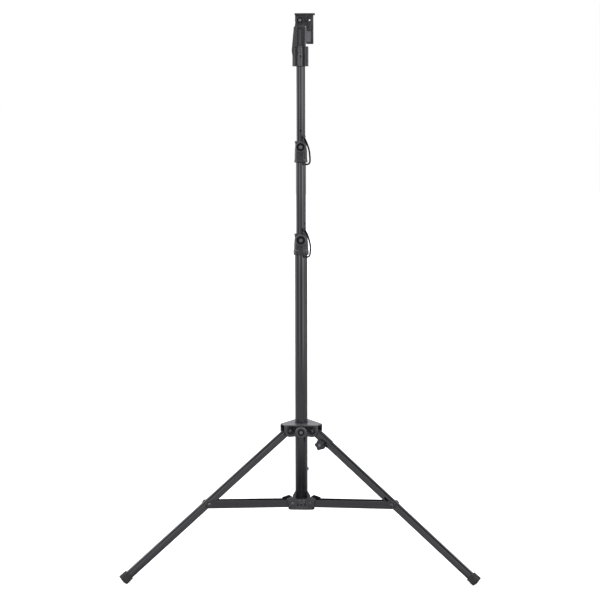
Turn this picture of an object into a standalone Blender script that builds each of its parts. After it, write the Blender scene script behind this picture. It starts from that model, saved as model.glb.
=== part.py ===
"""Three-section light stand on folding legs, with a levelling leg and a tilting head.

The stand is drawn open, as it stands in use. Sizes are in metres, +Z is up, the
camera side is -Y, and the origin is on the floor under the middle of the stand.
Every piece hangs on an empty at the column's axis, or on one of the three empties
that turn a leg's own frame (x outwards, y across, z up) to the leg's direction.
"""
import math

import bmesh
import bpy
from mathutils import Matrix, Vector

MM = 0.001

# Overall sizes
STAND_HEIGHT = 2162.0 * MM
CROWN_PIVOT_HEIGHT = 522.0 * MM
CROWN_PIVOT_RADIUS = 61.0 * MM
HUB_PIVOT_HEIGHT = 227.0 * MM
HUB_PIVOT_RADIUS = 54.0 * MM
LEG_SLOPE = math.radians(35.5)
STAY_JOINT_ALONG_LEG = 440.6 * MM
LEG_DIRECTIONS = {"rear": 90.0, "left": 210.0, "right": 330.0}

# Gaps between pieces
GAP = 0.3 * MM
HOLE_GAP = 0.3 * MM

# How far a cutter runs past the face that it opens, and a joined shape into its neighbour
MARGIN = 1.0 * MM
MERGE_DISTANCE = 0.005 * MM

# Column tubes
BASE_TUBE_R = 25.0 * MM
BASE_TUBE_WALL = 2.0 * MM
MIDDLE_TUBE_CLEAR = 3.4 * MM
MIDDLE_TUBE_R = BASE_TUBE_R - BASE_TUBE_WALL - MIDDLE_TUBE_CLEAR
MIDDLE_TUBE_WALL = 2.0 * MM
TOP_TUBE_CLEAR = 0.5 * MM
TOP_TUBE_R = MIDDLE_TUBE_R - MIDDLE_TUBE_WALL - TOP_TUBE_CLEAR
TOP_TUBE_WALL = 2.0 * MM
BASE_TUBE_BOTTOM = 202.6 * MM
LOWER_COLLAR_BOTTOM = 1222.0 * MM
UPPER_COLLAR_BOTTOM = 1585.0 * MM
HEAD_BOTTOM = STAND_HEIGHT - 203.0 * MM
MIDDLE_TUBE_LENGTH = 985.0 * MM
TOP_TUBE_LENGTH = 965.0 * MM
PLUG_FLANGE = 3.0 * MM
PLUG_SPIGOT = 14.0 * MM
PIN_HOLE_R = 4.0 * MM
PIN_HOLE_ABOVE_COLLAR = 40.0 * MM

# Clamp screws, knobs and pads
SCREW_R = 4.0 * MM
PAD_R = 5.0 * MM
PAD_THICKNESS = 3.4 * MM
LOWER_KNOB_R = 23.6 * MM
UPPER_KNOB_R = 21.6 * MM
CROWN_KNOB_R = 24.2 * MM
KNOB_THICKNESS = 18.0 * MM
KNOB_HUB_R = 11.0 * MM
KNOB_GAP = 1.5 * MM
KNOB_FACE_R = 12.6 * MM
KNOB_DISC_R = 6.7 * MM
KNOB_DISH = 5.0 * MM
KNOB_DISC_SUNK = 0.5 * MM
KNOB_RIM = 1.2 * MM
KNOB_EDGE = 3.0 * MM
KNOB_EDGE_DROP = 0.6 * MM
KNOB_GRIP_TOP = 4.0 * MM
KNOB_GRIP_FOOT = 5.0 * MM
KNOB_UNDERCUT = 3.5 * MM
KNOB_UNDERCUT_RISE = 1.5 * MM

# Collars
COLLAR_HEIGHT = 84.0 * MM
COLLAR_GRIP = 35.0 * MM
COLLAR_LIP = 4.0 * MM
BUSH_WALL = 2.7 * MM
LOWER_COLLAR_TOP_R = MIDDLE_TUBE_R + 6.8 * MM
LOWER_COLLAR_FOOT_R = BASE_TUBE_R + 3.6 * MM
UPPER_COLLAR_TOP_R = TOP_TUBE_R + 6.9 * MM
UPPER_COLLAR_FOOT_R = MIDDLE_TUBE_R + 5.0 * MM
COLLAR_SCREW_ABOVE_BOTTOM = 60.5 * MM
BOSS_WIDTH = 25.0 * MM
BOSS_HEIGHT = 42.0 * MM
BOSS_STANDOUT = 11.0 * MM

# Safety pins and their holders
HOLDER_X = 13.5 * MM
HOLDER_CLEAR = 4.0 * MM
HOLDER_R = 6.3 * MM
HOLDER_ABOVE_COLLAR = 7.0 * MM
HOLDER_HEIGHT = 44.0 * MM
PIN_R = 3.0 * MM
PIN_DEPTH = 38.0 * MM
PIN_FLANGE = 1.5 * MM
PIN_FLANGE_R = 5.2 * MM
PIN_HEAD_R = 5.8 * MM
PIN_HEAD_RISE = 10.0 * MM
PIN_NECK = 0.6 * MM
PIN_POINT = 1.0 * MM
LUG_R = 4.0 * MM
LUG_HEIGHT = 12.0 * MM
LUG_ABOVE_BOTTOM = 2.2 * MM
LUG_X = 12.6 * MM
LUG_SUNK = 1.2 * MM

# Lanyards: each route runs from the front of the pin's head to the lug under the collar.
# x is from the column's axis and z from the collar's bottom, in millimetres. The middle
# value is how far the cord stands in front of a line from the pin's holder to the lug
LANYARD_DIAMETER = 6.4 * MM
LANYARD_SPACING = 6.0 * MM
LOWER_LANYARD_ROUTE = [
    (13.0, 9.2, 104.0),
    (17.6, 9.7, 97.5),
    (21.6, 9.4, 89.5),
    (25.6, 8.8, 81.0),
    (29.6, 7.9, 70.5),
    (33.2, 7.2, 57.5),
    (36.2, 6.8, 44.0),
    (37.8, 6.4, 31.0),
    (37.4, 5.8, 18.5),
    (35.9, 4.8, 5.6),
    (34.2, 4.2, -0.65),
    (29.65, 3.4, -5.2),
    (23.4, 2.5, -6.9),
    (17.15, 1.7, -5.2),
    (12.6, 1.1, -0.65),
]
UPPER_LANYARD_ROUTE = [
    (11.0, 9.1, 100.2),
    (15.6, 9.7, 93.5),
    (19.4, 9.2, 85.5),
    (23.3, 8.4, 76.5),
    (27.6, 7.8, 65.0),
    (31.6, 7.3, 52.5),
    (34.0, 7.0, 40.0),
    (35.2, 6.7, 28.0),
    (36.0, 6.2, 16.0),
    (35.9, 5.8, 5.6),
    (34.2, 5.0, -0.65),
    (29.65, 4.0, -5.2),
    (23.4, 3.0, -6.9),
    (17.15, 2.2, -5.2),
    (12.6, 1.6, -0.65),
]

# Crown
CROWN_BORE_GAP = 3.0 * MM
CROWN_RING_WALL = 6.0 * MM
CROWN_RISE = 22.6 * MM
CROWN_DROP = 24.0 * MM
CROWN_CHEEK = 5.0 * MM
CROWN_PLATE = 4.0 * MM
CROWN_BOSS_R = 12.0 * MM
CROWN_BOSS_REACH = 60.0 * MM

# Lower hub
HUB_FLOOR = 199.6 * MM
HUB_PLATE = 4.0 * MM
HUB_RING_WALL = 8.5 * MM
HUB_RING_TOP = 242.0 * MM
HUB_FIN_TOP = 255.0 * MM
HUB_CHEEK = 3.2 * MM
HUB_PLATE_RADIUS = 44.0 * MM
HUB_CHEEK_LOW_RADIUS = 71.0 * MM
HUB_BELOW_PIVOT = 13.0 * MM
HUB_CHEEK_RADIUS = 78.0 * MM
HUB_SHOULDER = 249.0 * MM
HUB_CHEEK_ROOT = 12.0 * MM
HUB_CHEEK_STEP = 4.0 * MM
HUB_CHEEK_NOSE = 5.0 * MM
HUB_CHEEK_UNDERCUT = 7.0 * MM
HUB_GUSSET = 6.0 * MM
HUB_GUSSET_TOP = 277.0 * MM
HUB_GUSSET_RADIUS = 40.0 * MM
HUB_PLATE_EDGE = 0.6 * MM
HUB_SCREW_HEIGHT = 221.0 * MM
HUB_SCREW_HEAD_R = 10.0 * MM
HUB_SCREW_HEAD = 5.0 * MM

# Legs, sleeve and feet
LEG_TUBE = 27.0 * MM
LEG_WALL = 2.0 * MM
LEG_CORNER = 2.5 * MM
LEG_INNER_CORNER = 0.5 * MM
LEG_END_ABOVE_PIVOT = 13.0 * MM
SLEEVE = LEG_TUBE + 3.0 * MM
SLEEVE_WALL = 1.5 * MM
SLEEVE_REACH = 86.0 * MM
LEVELLING_TRAVEL = 40.0 * MM
LEVELLING_CLEAR = 4.0 * MM
STAR_KNOB_ALONG = 62.0 * MM
STAR_KNOB_BELOW = 0.5 * SLEEVE + 3.0 * MM
STAR_KNOB_R = 21.5 * MM
STAR_KNOB_LOBES = 5
STAR_KNOB_THICKNESS = 14.0 * MM
STAR_KNOB_WAIST = 0.78
STAR_KNOB_COLLAR = 3.0 * MM
PINCH_SLIT = 3.0 * MM
PINCH_SLIT_BACK = 18.0 * MM
PINCH_LUG = 8.0 * MM
FOOT_RUBBER = 3.0 * MM
FOOT = LEG_TUBE + 2 * FOOT_RUBBER
FOOT_LENGTH = 33.0 * MM
FOOT_SOLE = 5.0 * MM
FOOT_WEAR = 2.0 * MM

# Stays and pivot bolts
STAY_WIDTH = 30.4 * MM
STAY_BAR = 3.0 * MM
STAY_CLEAR = 0.6 * MM
STAY_GAP = LEG_TUBE + 2 * STAY_CLEAR
BOLT_R = 4.0 * MM
BOLT_HEAD_R = 7.5 * MM
BOLT_HEAD = 5.0 * MM
NUT_R = 7.5 * MM
NUT = 6.0 * MM

# Head
HEAD_SLEEVE_X = 62.5 * MM
HEAD_SLEEVE_Y = 2 * TOP_TUBE_R + 11.8 * MM
HEAD_SLEEVE_TOP = HEAD_BOTTOM + 76.0 * MM
HEAD_SLEEVE_SHIFT = -1.3 * MM
HEAD_SOCKET_DEPTH = 70.0 * MM
HEAD_CHANNELS = ((-15.2 * MM, -7.0 * MM), (2.4 * MM, 13.5 * MM))
HEAD_CHANNEL_DEPTH = 12.0 * MM
HEAD_CHANNEL_FOOT = HEAD_BOTTOM + 78.0 * MM
HEAD_CHANNEL_TOP = HEAD_BOTTOM + 149.0 * MM
HEAD_CORNER = 9.0 * MM
HEAD_OVERLAP = 3.0 * MM
HEAD_RIB_INSET = 0.4
HEAD_BODY_Y = 40.0 * MM
HEAD_BODY_FOOT = HEAD_BOTTOM + 41.0 * MM
HEAD_BODY_SHOULDER = HEAD_BOTTOM + 59.0 * MM
HEAD_BODY_TOP = HEAD_BOTTOM + 152.0 * MM
HEAD_BODY_LEFT_FOOT = -32.3 * MM
HEAD_BODY_LEFT_SHOULDER = -35.0 * MM
HEAD_BODY_LEFT_TOP = -26.4 * MM
HEAD_BODY_RIGHT = 19.8 * MM
HEAD_RIB_R = 13.0 * MM
HEAD_RIB_TOP = HEAD_BOTTOM + 47.0 * MM
HEAD_SCREW_HEIGHT = HEAD_BOTTOM + 39.0 * MM
HEAD_SCREW_HEAD_R = 6.5 * MM
HEAD_SCREW_HEAD = 4.0 * MM
TILT_X = -2.6 * MM
TILT_HEIGHT = HEAD_BOTTOM + 175.0 * MM
TILT_CHEEK_R = 19.0 * MM
TILT_CHEEK = 8.0 * MM
TILT_WEB = 20.0 * MM
TILT_KNOB_R = 15.4 * MM
TILT_KNOB_THICKNESS = 15.0 * MM
TILT_KNOB_FACE_R = 10.4 * MM
TILT_KNOB_DISC_R = 8.7 * MM
TILT_KNOB_GAP = 0.5 * MM
BARREL_INSET = 2.0 * MM
WEB_INSET = 0.5 * MM
WEB_LEFT = -21.5 * MM
WEB_NOSE_LEFT = 7.4 * MM
WEB_NOSE_BELOW = 21.0 * MM
BRACKET_OVERLAP = 2.0 * MM
TOP_PLATE = 6.0 * MM
TOP_PLATE_LEFT = -23.5 * MM
TOP_PLATE_RIGHT = 55.5 * MM
TOP_PLATE_Y = 40.0 * MM
BRACKET_LEFT = 20.8 * MM
BRACKET_RIGHT = 49.6 * MM
BRACKET_Y = 36.0 * MM
BRACKET_BOTTOM = HEAD_BOTTOM + 86.0 * MM
SPIGOT_BORE_R = 8.15 * MM
SPIGOT_DEPTH = 60.0 * MM
WINDOW_X = 34.6 * MM
WINDOW_HEIGHT = HEAD_BOTTOM + 177.0 * MM
WINDOW_R = 3.6 * MM
SLOT_X = 27.5 * MM
SLOT_WIDTH = 6.0 * MM
SLOT_LOW = HEAD_BOTTOM + 137.0 * MM
SLOT_HIGH = HEAD_BOTTOM + 191.0 * MM
SLOT_DEPTH = 5.0 * MM
SOCKET_SCREW_HEIGHT = HEAD_BOTTOM + 140.0 * MM
SOCKET_SCREW_HEAD_R = 4.5 * MM
SOCKET_SCREW_HEAD = 3.0 * MM
SOCKET_SCREW_R = 2.0 * MM

# Round sections, and the angles between which two faces count as one round surface
FLAT_ANGLE = math.radians(1.0)
ROUND_ANGLE = math.radians(35.0)
TUBE_SIDES = 32
KNOB_SIDES = 24
SMALL_SIDES = 12
MEDIUM_SIDES = 20

# Sizes that follow from the ones above
BASE_TUBE_TOP = LOWER_COLLAR_BOTTOM + COLLAR_GRIP
MIDDLE_TUBE_TOP = UPPER_COLLAR_BOTTOM + COLLAR_GRIP
MIDDLE_TUBE_BOTTOM = MIDDLE_TUBE_TOP - MIDDLE_TUBE_LENGTH
TOP_TUBE_TOP = HEAD_BOTTOM + HEAD_SOCKET_DEPTH - GAP
TOP_TUBE_BOTTOM = TOP_TUBE_TOP - TOP_TUBE_LENGTH
CROWN_BORE_R = BASE_TUBE_R + CROWN_BORE_GAP
CROWN_RING_R = CROWN_BORE_R + CROWN_RING_WALL
CROWN_ARM_RADIUS = CROWN_PIVOT_RADIUS + CROWN_DROP
CROWN_CHEEK_GAP = SLEEVE + 2 * GAP
HUB_BORE_R = BASE_TUBE_R + GAP
HUB_RING_R = HUB_BORE_R + HUB_RING_WALL
HUB_CHEEK_GAP = STAY_GAP + 2 * (STAY_BAR + GAP)
LEVELLING_LEG = SLEEVE - 2 * (SLEEVE_WALL + GAP)
FOOT_REACH_DOWN = CROWN_PIVOT_HEIGHT + FOOT_WEAR - 0.5 * FOOT * math.cos(LEG_SLOPE)
FOOT_END = FOOT_REACH_DOWN / math.sin(LEG_SLOPE)
LEG_END = FOOT_END - FOOT_SOLE - GAP
STAY_JOINT_RADIUS = CROWN_PIVOT_RADIUS + STAY_JOINT_ALONG_LEG * math.cos(LEG_SLOPE)
STAY_JOINT_HEIGHT = CROWN_PIVOT_HEIGHT - STAY_JOINT_ALONG_LEG * math.sin(LEG_SLOPE)
STAY_RUN = STAY_JOINT_RADIUS - HUB_PIVOT_RADIUS
STAY_RISE = STAY_JOINT_HEIGHT - HUB_PIVOT_HEIGHT
STAY_LENGTH = math.hypot(STAY_RUN, STAY_RISE)
STAY_SLOPE = math.atan2(STAY_RISE, STAY_RUN)
TOP_PLATE_BOTTOM = STAND_HEIGHT - TOP_PLATE


def column_offset():
    """How far the column stands from the middle of the three feet, along Y."""
    radius = CROWN_PIVOT_RADIUS + FOOT_END * math.cos(LEG_SLOPE)
    radius += 0.5 * FOOT * math.sin(LEG_SLOPE)
    ends = []
    for direction in LEG_DIRECTIONS.values():
        angle = math.radians(direction)
        for across in (-0.5 * FOOT, 0.5 * FOOT):
            ends.append(radius * math.sin(angle) + across * math.cos(angle))
    return -0.5 * (max(ends) + min(ends))


# Scene

def clear_scene():
    for old in list(bpy.data.objects):
        bpy.data.objects.remove(old, do_unlink=True)


def new_collection(name):
    collection = bpy.data.collections.new(name)
    bpy.context.scene.collection.children.link(collection)
    return collection


clear_scene()
STAND = new_collection("light_stand")
CUTTERS = new_collection("cutters")


def add_empty(name, location, turn=0.0, parent=None):
    """An empty that carries pieces; turn is about +Z."""
    empty = bpy.data.objects.new(name, None)
    empty.empty_display_size = 0.05
    empty.location = location
    empty.rotation_euler = (0.0, 0.0, turn)
    empty.parent = parent
    STAND.objects.link(empty)
    return empty


COLUMN = add_empty("column_axis", (0.0, column_offset(), 0.0))
LEG_FRAMES = {
    side: add_empty("leg_frame_" + side, (0.0, 0.0, 0.0), math.radians(angle), COLUMN)
    for side, angle in LEG_DIRECTIONS.items()
}

FINISHES = {
    "tube_paint": ((0.035, 0.036, 0.040), 0.32, 0.55),
    "cast_paint": ((0.040, 0.040, 0.044), 0.45, 0.40),
    "plate_paint": ((0.060, 0.061, 0.066), 0.40, 0.55),
    "knob_plastic": ((0.030, 0.030, 0.033), 0.50, 0.0),
    "rubber": ((0.018, 0.018, 0.018), 0.80, 0.0),
    "nylon": ((0.025, 0.025, 0.026), 0.55, 0.0),
    "black_steel": ((0.045, 0.045, 0.048), 0.38, 0.85),
    "brass": ((0.45, 0.33, 0.14), 0.35, 1.0),
    "cord": ((0.012, 0.012, 0.013), 0.60, 0.0),
}


def finish(piece, kind):
    """The piece's own material, from the table of finishes."""
    colour, roughness, metallic = FINISHES[kind]
    material = bpy.data.materials.new(piece.name + "_" + kind)
    material.use_nodes = True
    shader = material.node_tree.nodes["Principled BSDF"]
    shader.inputs["Base Color"].default_value = (*colour, 1.0)
    shader.inputs["Roughness"].default_value = roughness
    shader.inputs["Metallic"].default_value = metallic
    piece.data.materials.append(material)


def place(piece, parent, location=(0.0, 0.0, 0.0), rotation=(0.0, 0.0, 0.0)):
    piece.parent = parent
    piece.location = location
    piece.rotation_euler = rotation
    return piece


# Shapes, each made around its own origin

def from_mesh(name, mesh):
    """A new object for a closed mesh, with faces turned out and round sides smooth."""
    work = bmesh.new()
    work.from_mesh(mesh)
    bmesh.ops.remove_doubles(work, verts=work.verts, dist=MERGE_DISTANCE)
    bmesh.ops.recalc_face_normals(work, faces=work.faces)
    for edge in work.edges:
        edge.smooth = edge.calc_face_angle(math.pi) < ROUND_ANGLE
    for face in work.faces:
        face.smooth = any(
            FLAT_ANGLE < edge.calc_face_angle(math.pi) < ROUND_ANGLE for edge in face.edges)
    work.to_mesh(mesh)
    work.free()
    piece = bpy.data.objects.new(name, mesh)
    STAND.objects.link(piece)
    return piece


def evaluated(source, name):
    """The mesh of a curve or of an object with modifiers; the source is removed."""
    bpy.context.view_layer.update()
    depsgraph = bpy.context.evaluated_depsgraph_get()
    mesh = bpy.data.meshes.new_from_object(source.evaluated_get(depsgraph))
    mesh.name = name
    mesh.transform(source.matrix_world)
    bpy.data.objects.remove(source, do_unlink=True)
    return mesh


def box(name, low, high):
    """A box between two corners."""
    work = bmesh.new()
    bmesh.ops.create_cube(work, size=1.0)
    size = Vector(high) - Vector(low)
    middle = 0.5 * (Vector(high) + Vector(low))
    bmesh.ops.scale(work, vec=size, verts=work.verts)
    bmesh.ops.translate(work, vec=middle, verts=work.verts)
    mesh = bpy.data.meshes.new(name)
    work.to_mesh(mesh)
    work.free()
    return from_mesh(name, mesh)


def rod(name, radius, low, high, sides=SMALL_SIDES, along="Z"):
    """A round or many-sided rod from low to high along an axis."""
    work = bmesh.new()
    bmesh.ops.create_cone(
        work, cap_ends=True, segments=sides, radius1=radius, radius2=radius, depth=high - low)
    bmesh.ops.translate(work, vec=(0.0, 0.0, 0.5 * (low + high)), verts=work.verts)
    if along == "X":
        bmesh.ops.rotate(work, matrix=Matrix.Rotation(math.pi / 2, 3, "Y"), verts=work.verts)
    if along == "Y":
        bmesh.ops.rotate(work, matrix=Matrix.Rotation(-math.pi / 2, 3, "X"), verts=work.verts)
    mesh = bpy.data.meshes.new(name)
    work.to_mesh(mesh)
    work.free()
    return from_mesh(name, mesh)


def turned(name, profile, sides, ring=False):
    """A turned piece: (radius, height) points down its outer side, spun about +Z."""
    mesh = bpy.data.meshes.new(name)
    points = [(radius, 0.0, height) for radius, height in profile]
    edges = [(index, index + 1) for index in range(len(points) - 1)]
    if ring:
        edges.append((len(points) - 1, 0))
    mesh.from_pydata(points, edges, [])
    source = bpy.data.objects.new(name, mesh)
    STAND.objects.link(source)
    screw = source.modifiers.new("turn", "SCREW")
    screw.steps = sides
    screw.render_steps = sides
    screw.use_merge_vertices = True
    screw.merge_threshold = MERGE_DISTANCE
    return from_mesh(name, evaluated(source, name))


def tube(name, outer, inner, low, high, sides=TUBE_SIDES):
    return turned(name, [(outer, high), (outer, low), (inner, low), (inner, high)], sides, True)


def flat(name, outlines, thickness, upright=False):
    """A flat outline with its holes, centred on its thickness; upright stands it in XZ."""
    curve = bpy.data.curves.new(name, "CURVE")
    curve.dimensions = "2D"
    curve.fill_mode = "BOTH"
    curve.extrude = 0.5 * thickness
    curve.resolution_u = 1
    curve.render_resolution_u = 0
    for outline in outlines:
        spline = curve.splines.new("POLY")
        spline.points.add(len(outline) - 1)
        for point, (along, across) in zip(spline.points, outline):
            point.co = (along, across, 0.0, 1.0)
        spline.use_cyclic_u = True
    source = bpy.data.objects.new(name, curve)
    STAND.objects.link(source)
    mesh = evaluated(source, name)
    if upright:
        mesh.transform(Matrix.Rotation(math.pi / 2, 4, "X"))
    return from_mesh(name, mesh)


def arc(centre_x, centre_y, radius, start, end, steps):
    """Points on an arc, both ends included; angles in degrees."""
    points = []
    for index in range(steps + 1):
        angle = math.radians(start + (end - start) * index / steps)
        points.append((centre_x + radius * math.cos(angle), centre_y + radius * math.sin(angle)))
    return points


def circle(centre_x, centre_y, radius, sides=SMALL_SIDES):
    return arc(centre_x, centre_y, radius, 0.0, 360.0 - 360.0 / sides, sides - 1)


def rounded_square(side, corner, steps=3):
    """The outline of a square tube with rounded corners."""
    inset = 0.5 * side - corner
    points = []
    for index, (x, y) in enumerate(((1, 1), (-1, 1), (-1, -1), (1, -1))):
        points += arc(x * inset, y * inset, corner, 90.0 * index, 90.0 * (index + 1), steps)
    return points


def square_tube(name, side, wall, start, end):
    """A square tube along +X from start to end."""
    outside = rounded_square(side, LEG_CORNER)
    inside = rounded_square(side - 2 * wall, LEG_INNER_CORNER)
    piece = flat(name, [outside, inside], end - start)
    piece.data.transform(Matrix.Rotation(math.pi / 2, 4, "Y"))
    piece.data.transform(Matrix.Translation((0.5 * (start + end), 0.0, 0.0)))
    return piece


def tool(piece, parent=None, location=(0.0, 0.0, 0.0), rotation=(0.0, 0.0, 0.0)):
    """Puts a shape among the cutters, where it shapes other pieces and isn't one itself."""
    STAND.objects.unlink(piece)
    CUTTERS.objects.link(piece)
    piece.hide_render = True
    piece.display_type = "WIRE"
    return place(piece, parent, location, rotation)


def shape(target, operand, operation):
    step = target.modifiers.new(operation.lower(), "BOOLEAN")
    step.operation = operation
    step.solver = "EXACT"
    step.object = operand


def cut(target, *operands):
    for operand in operands:
        shape(target, operand, "DIFFERENCE")


def join(target, *operands):
    for operand in operands:
        shape(target, operand, "UNION")


# Parts used in several places

def tube_plug(name, parent, outer, inner, bottom, flange_height=PLUG_FLANGE):
    """A plug pressed into a tube's lower end: a flange under the tube and a spigot in it."""
    spigot = inner - GAP
    top = bottom + PLUG_SPIGOT
    profile = [
        (0.0, top),
        (spigot, top),
        (spigot, bottom - GAP),
        (outer, bottom - GAP),
        (outer, bottom - GAP - flange_height),
        (0.0, bottom - GAP - flange_height),
    ]
    piece = place(turned(name, profile, TUBE_SIDES), parent)
    finish(piece, "nylon")
    return piece


def knob_profile(radius, thickness, face, disc, length):
    """A round clamp knob on its screw: tip at height 0, grip at the top."""
    top = length + thickness
    return [
        (0.0, top - KNOB_DISC_SUNK),
        (disc, top - KNOB_DISC_SUNK),
        (disc, top - KNOB_DISH),
        (face, top - KNOB_DISH),
        (face + KNOB_RIM, top),
        (radius - KNOB_EDGE, top - KNOB_EDGE_DROP),
        (radius, top - KNOB_GRIP_TOP),
        (radius, length + KNOB_GRIP_FOOT),
        (radius - KNOB_UNDERCUT, length + KNOB_UNDERCUT_RISE),
        (KNOB_HUB_R, length),
        (SCREW_R, length),
        (SCREW_R, 0.0),
        (0.0, 0.0),
    ]


def front_knob(name, parent, height, tip, seat, radius):
    """A clamp knob on the camera side: its screw runs from tip to seat, along -Y."""
    profile = knob_profile(radius, KNOB_THICKNESS, KNOB_FACE_R, KNOB_DISC_R, seat - tip)
    piece = place(
        turned(name, profile, KNOB_SIDES), parent, (0.0, -tip, height), (math.pi / 2, 0.0, 0.0))
    finish(piece, "knob_plastic")
    return piece


def clamp_pad(name, parent, height, tube_radius):
    """The brass pad between a clamp screw and its tube."""
    pad = rod(name, PAD_R, -(tube_radius + GAP + PAD_THICKNESS), -(tube_radius + GAP), along="Y")
    place(pad, parent, (0.0, 0.0, height))
    finish(pad, "brass")
    return pad


def pad_way(parent, height, tube_radius):
    """The cutter for the hole that a clamp pad sits in."""
    shoulder = tube_radius + GAP + PAD_THICKNESS + GAP
    pad_hole = rod("pad_hole", PAD_R + HOLE_GAP, -shoulder, 0.0, along="Y")
    return tool(pad_hole, parent, (0.0, 0.0, height))


def screw_way(parent, height, tube_radius, reach):
    """Cutters for a front clamp screw: a wide hole for the pad, a narrower one to the boss."""
    screw_hole = rod("screw_hole", SCREW_R + HOLE_GAP, -reach, 0.0, along="Y")
    return pad_way(parent, height, tube_radius), tool(screw_hole, parent, (0.0, 0.0, height))


def cross_bolt(name, parent, location, half_width, rotation=(0.0, 0.0, 0.0)):
    """A bolt right through a joint, along Y: hexagon head at +Y, nut at -Y."""
    reach = half_width + GAP
    bolt = rod(name, BOLT_R, -reach - NUT, reach + MARGIN, along="Y")
    place(bolt, parent, location, rotation)
    head = rod("bolt_head", BOLT_HEAD_R, reach, reach + BOLT_HEAD, 6, "Y")
    nut = rod("bolt_nut", NUT_R, -reach - NUT + MARGIN, -reach, 6, "Y")
    join(bolt, tool(head, parent, location, rotation), tool(nut, parent, location, rotation))
    finish(bolt, "black_steel")
    return bolt


# Column

def make_column():
    base_inner = BASE_TUBE_R - BASE_TUBE_WALL
    base = tube("base_tube", BASE_TUBE_R, base_inner, BASE_TUBE_BOTTOM, BASE_TUBE_TOP)
    place(base, COLUMN)
    finish(base, "tube_paint")
    flange = BASE_TUBE_BOTTOM - GAP - HUB_FLOOR
    tube_plug("base_tube_plug", COLUMN, BASE_TUBE_R - GAP, base_inner, BASE_TUBE_BOTTOM, flange)


def make_sliding_tube(name, radius, wall, bottom, top, outer_bore, hole_height, hole_turn):
    """A sliding tube with its plug; outer_bore is the bore that the plug's flange guides in."""
    piece = place(tube(name, radius, radius - wall, bottom, top), COLUMN)
    hole = rod("pin_hole", PIN_HOLE_R, -2 * radius, 0.0, along="Y")
    turn = (0.0, 0.0, math.radians(hole_turn))
    cut(piece, tool(hole, COLUMN, (0.0, 0.0, hole_height), turn))
    finish(piece, "tube_paint")
    tube_plug(name + "_plug", COLUMN, outer_bore - GAP, radius - wall, bottom)


def make_sliding_tubes():
    make_sliding_tube(
        "middle_tube", MIDDLE_TUBE_R, MIDDLE_TUBE_WALL, MIDDLE_TUBE_BOTTOM, MIDDLE_TUBE_TOP,
        BASE_TUBE_R - BASE_TUBE_WALL,
        LOWER_COLLAR_BOTTOM + COLLAR_HEIGHT + PIN_HOLE_ABOVE_COLLAR, 50.0)
    make_sliding_tube(
        "top_tube", TOP_TUBE_R, TOP_TUBE_WALL, TOP_TUBE_BOTTOM, TOP_TUBE_TOP,
        MIDDLE_TUBE_R - MIDDLE_TUBE_WALL,
        UPPER_COLLAR_BOTTOM + COLLAR_HEIGHT + PIN_HOLE_ABOVE_COLLAR, 0.0)


# Collars

def holder_y(top_radius):
    """Where a safety pin's holder stands in front of the collar."""
    return -math.sqrt((top_radius + HOLDER_CLEAR) ** 2 - HOLDER_X ** 2)


def make_collar(name, bottom, held_r, sliding_r, top_r, foot_r, knob_r):
    """A collar that grips the tube below it and clamps the tube that slides in it."""
    top = bottom + COLLAR_HEIGHT
    step = bottom + COLLAR_GRIP + GAP
    lip = top - COLLAR_LIP
    bush_outer = sliding_r + GAP + BUSH_WALL
    screw = bottom + COLLAR_SCREW_ABOVE_BOTTOM
    boss_front = foot_r + BOSS_STANDOUT

    body = turned(name, [(0.0, top), (top_r, top), (foot_r, bottom), (0.0, bottom)], TUBE_SIDES)
    place(body, COLUMN)
    boss = box(
        name + "_boss",
        (-0.5 * BOSS_WIDTH, -boss_front, screw - 0.5 * BOSS_HEIGHT),
        (0.5 * BOSS_WIDTH, 0.0, screw + 0.5 * BOSS_HEIGHT))
    holder_top = top + HOLDER_ABOVE_COLLAR
    holder = rod(name + "_holder", HOLDER_R, holder_top - HOLDER_HEIGHT, holder_top, MEDIUM_SIDES)
    lug_foot = bottom + LUG_ABOVE_BOTTOM
    lug = rod(name + "_lug", LUG_R, lug_foot, lug_foot + LUG_HEIGHT)
    lug_y = lug_place(foot_r)
    join(
        body,
        tool(boss, COLUMN),
        tool(holder, COLUMN, (HOLDER_X, holder_y(top_r), 0.0)),
        tool(lug, COLUMN, (LUG_X, lug_y, 0.0)))
    bore = turned(name + "_bore", [
        (0.0, top + MARGIN),
        (sliding_r + 2 * GAP, top + MARGIN),
        (sliding_r + 2 * GAP, lip),
        (bush_outer + GAP, lip),
        (bush_outer + GAP, step),
        (held_r + GAP, step),
        (held_r + GAP, bottom - MARGIN),
        (0.0, bottom - MARGIN),
    ], TUBE_SIDES)
    pin_hole = rod(
        name + "_pin_hole", PIN_R + HOLE_GAP, holder_top - PIN_DEPTH - GAP, holder_top + MARGIN)
    cut(
        body,
        *screw_way(COLUMN, screw, sliding_r, boss_front + MARGIN),
        tool(bore, COLUMN),
        tool(pin_hole, COLUMN, (HOLDER_X, holder_y(top_r), 0.0)))
    finish(body, "cast_paint")

    bush = tube(name + "_bush", bush_outer, sliding_r + GAP, step + GAP, lip - GAP)
    place(bush, COLUMN)
    cut(bush, pad_way(COLUMN, screw, sliding_r))
    finish(bush, "nylon")
    clamp_pad(name + "_pad", COLUMN, screw, sliding_r)
    tip = sliding_r + PAD_THICKNESS + 2 * GAP
    front_knob(name + "_knob", COLUMN, screw, tip, boss_front + KNOB_GAP, knob_r)


def lug_place(foot_r):
    """The lanyard's lug stands against the collar's foot, at the front right."""
    return -math.sqrt((foot_r + LUG_R - LUG_SUNK) ** 2 - LUG_X ** 2)


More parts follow.
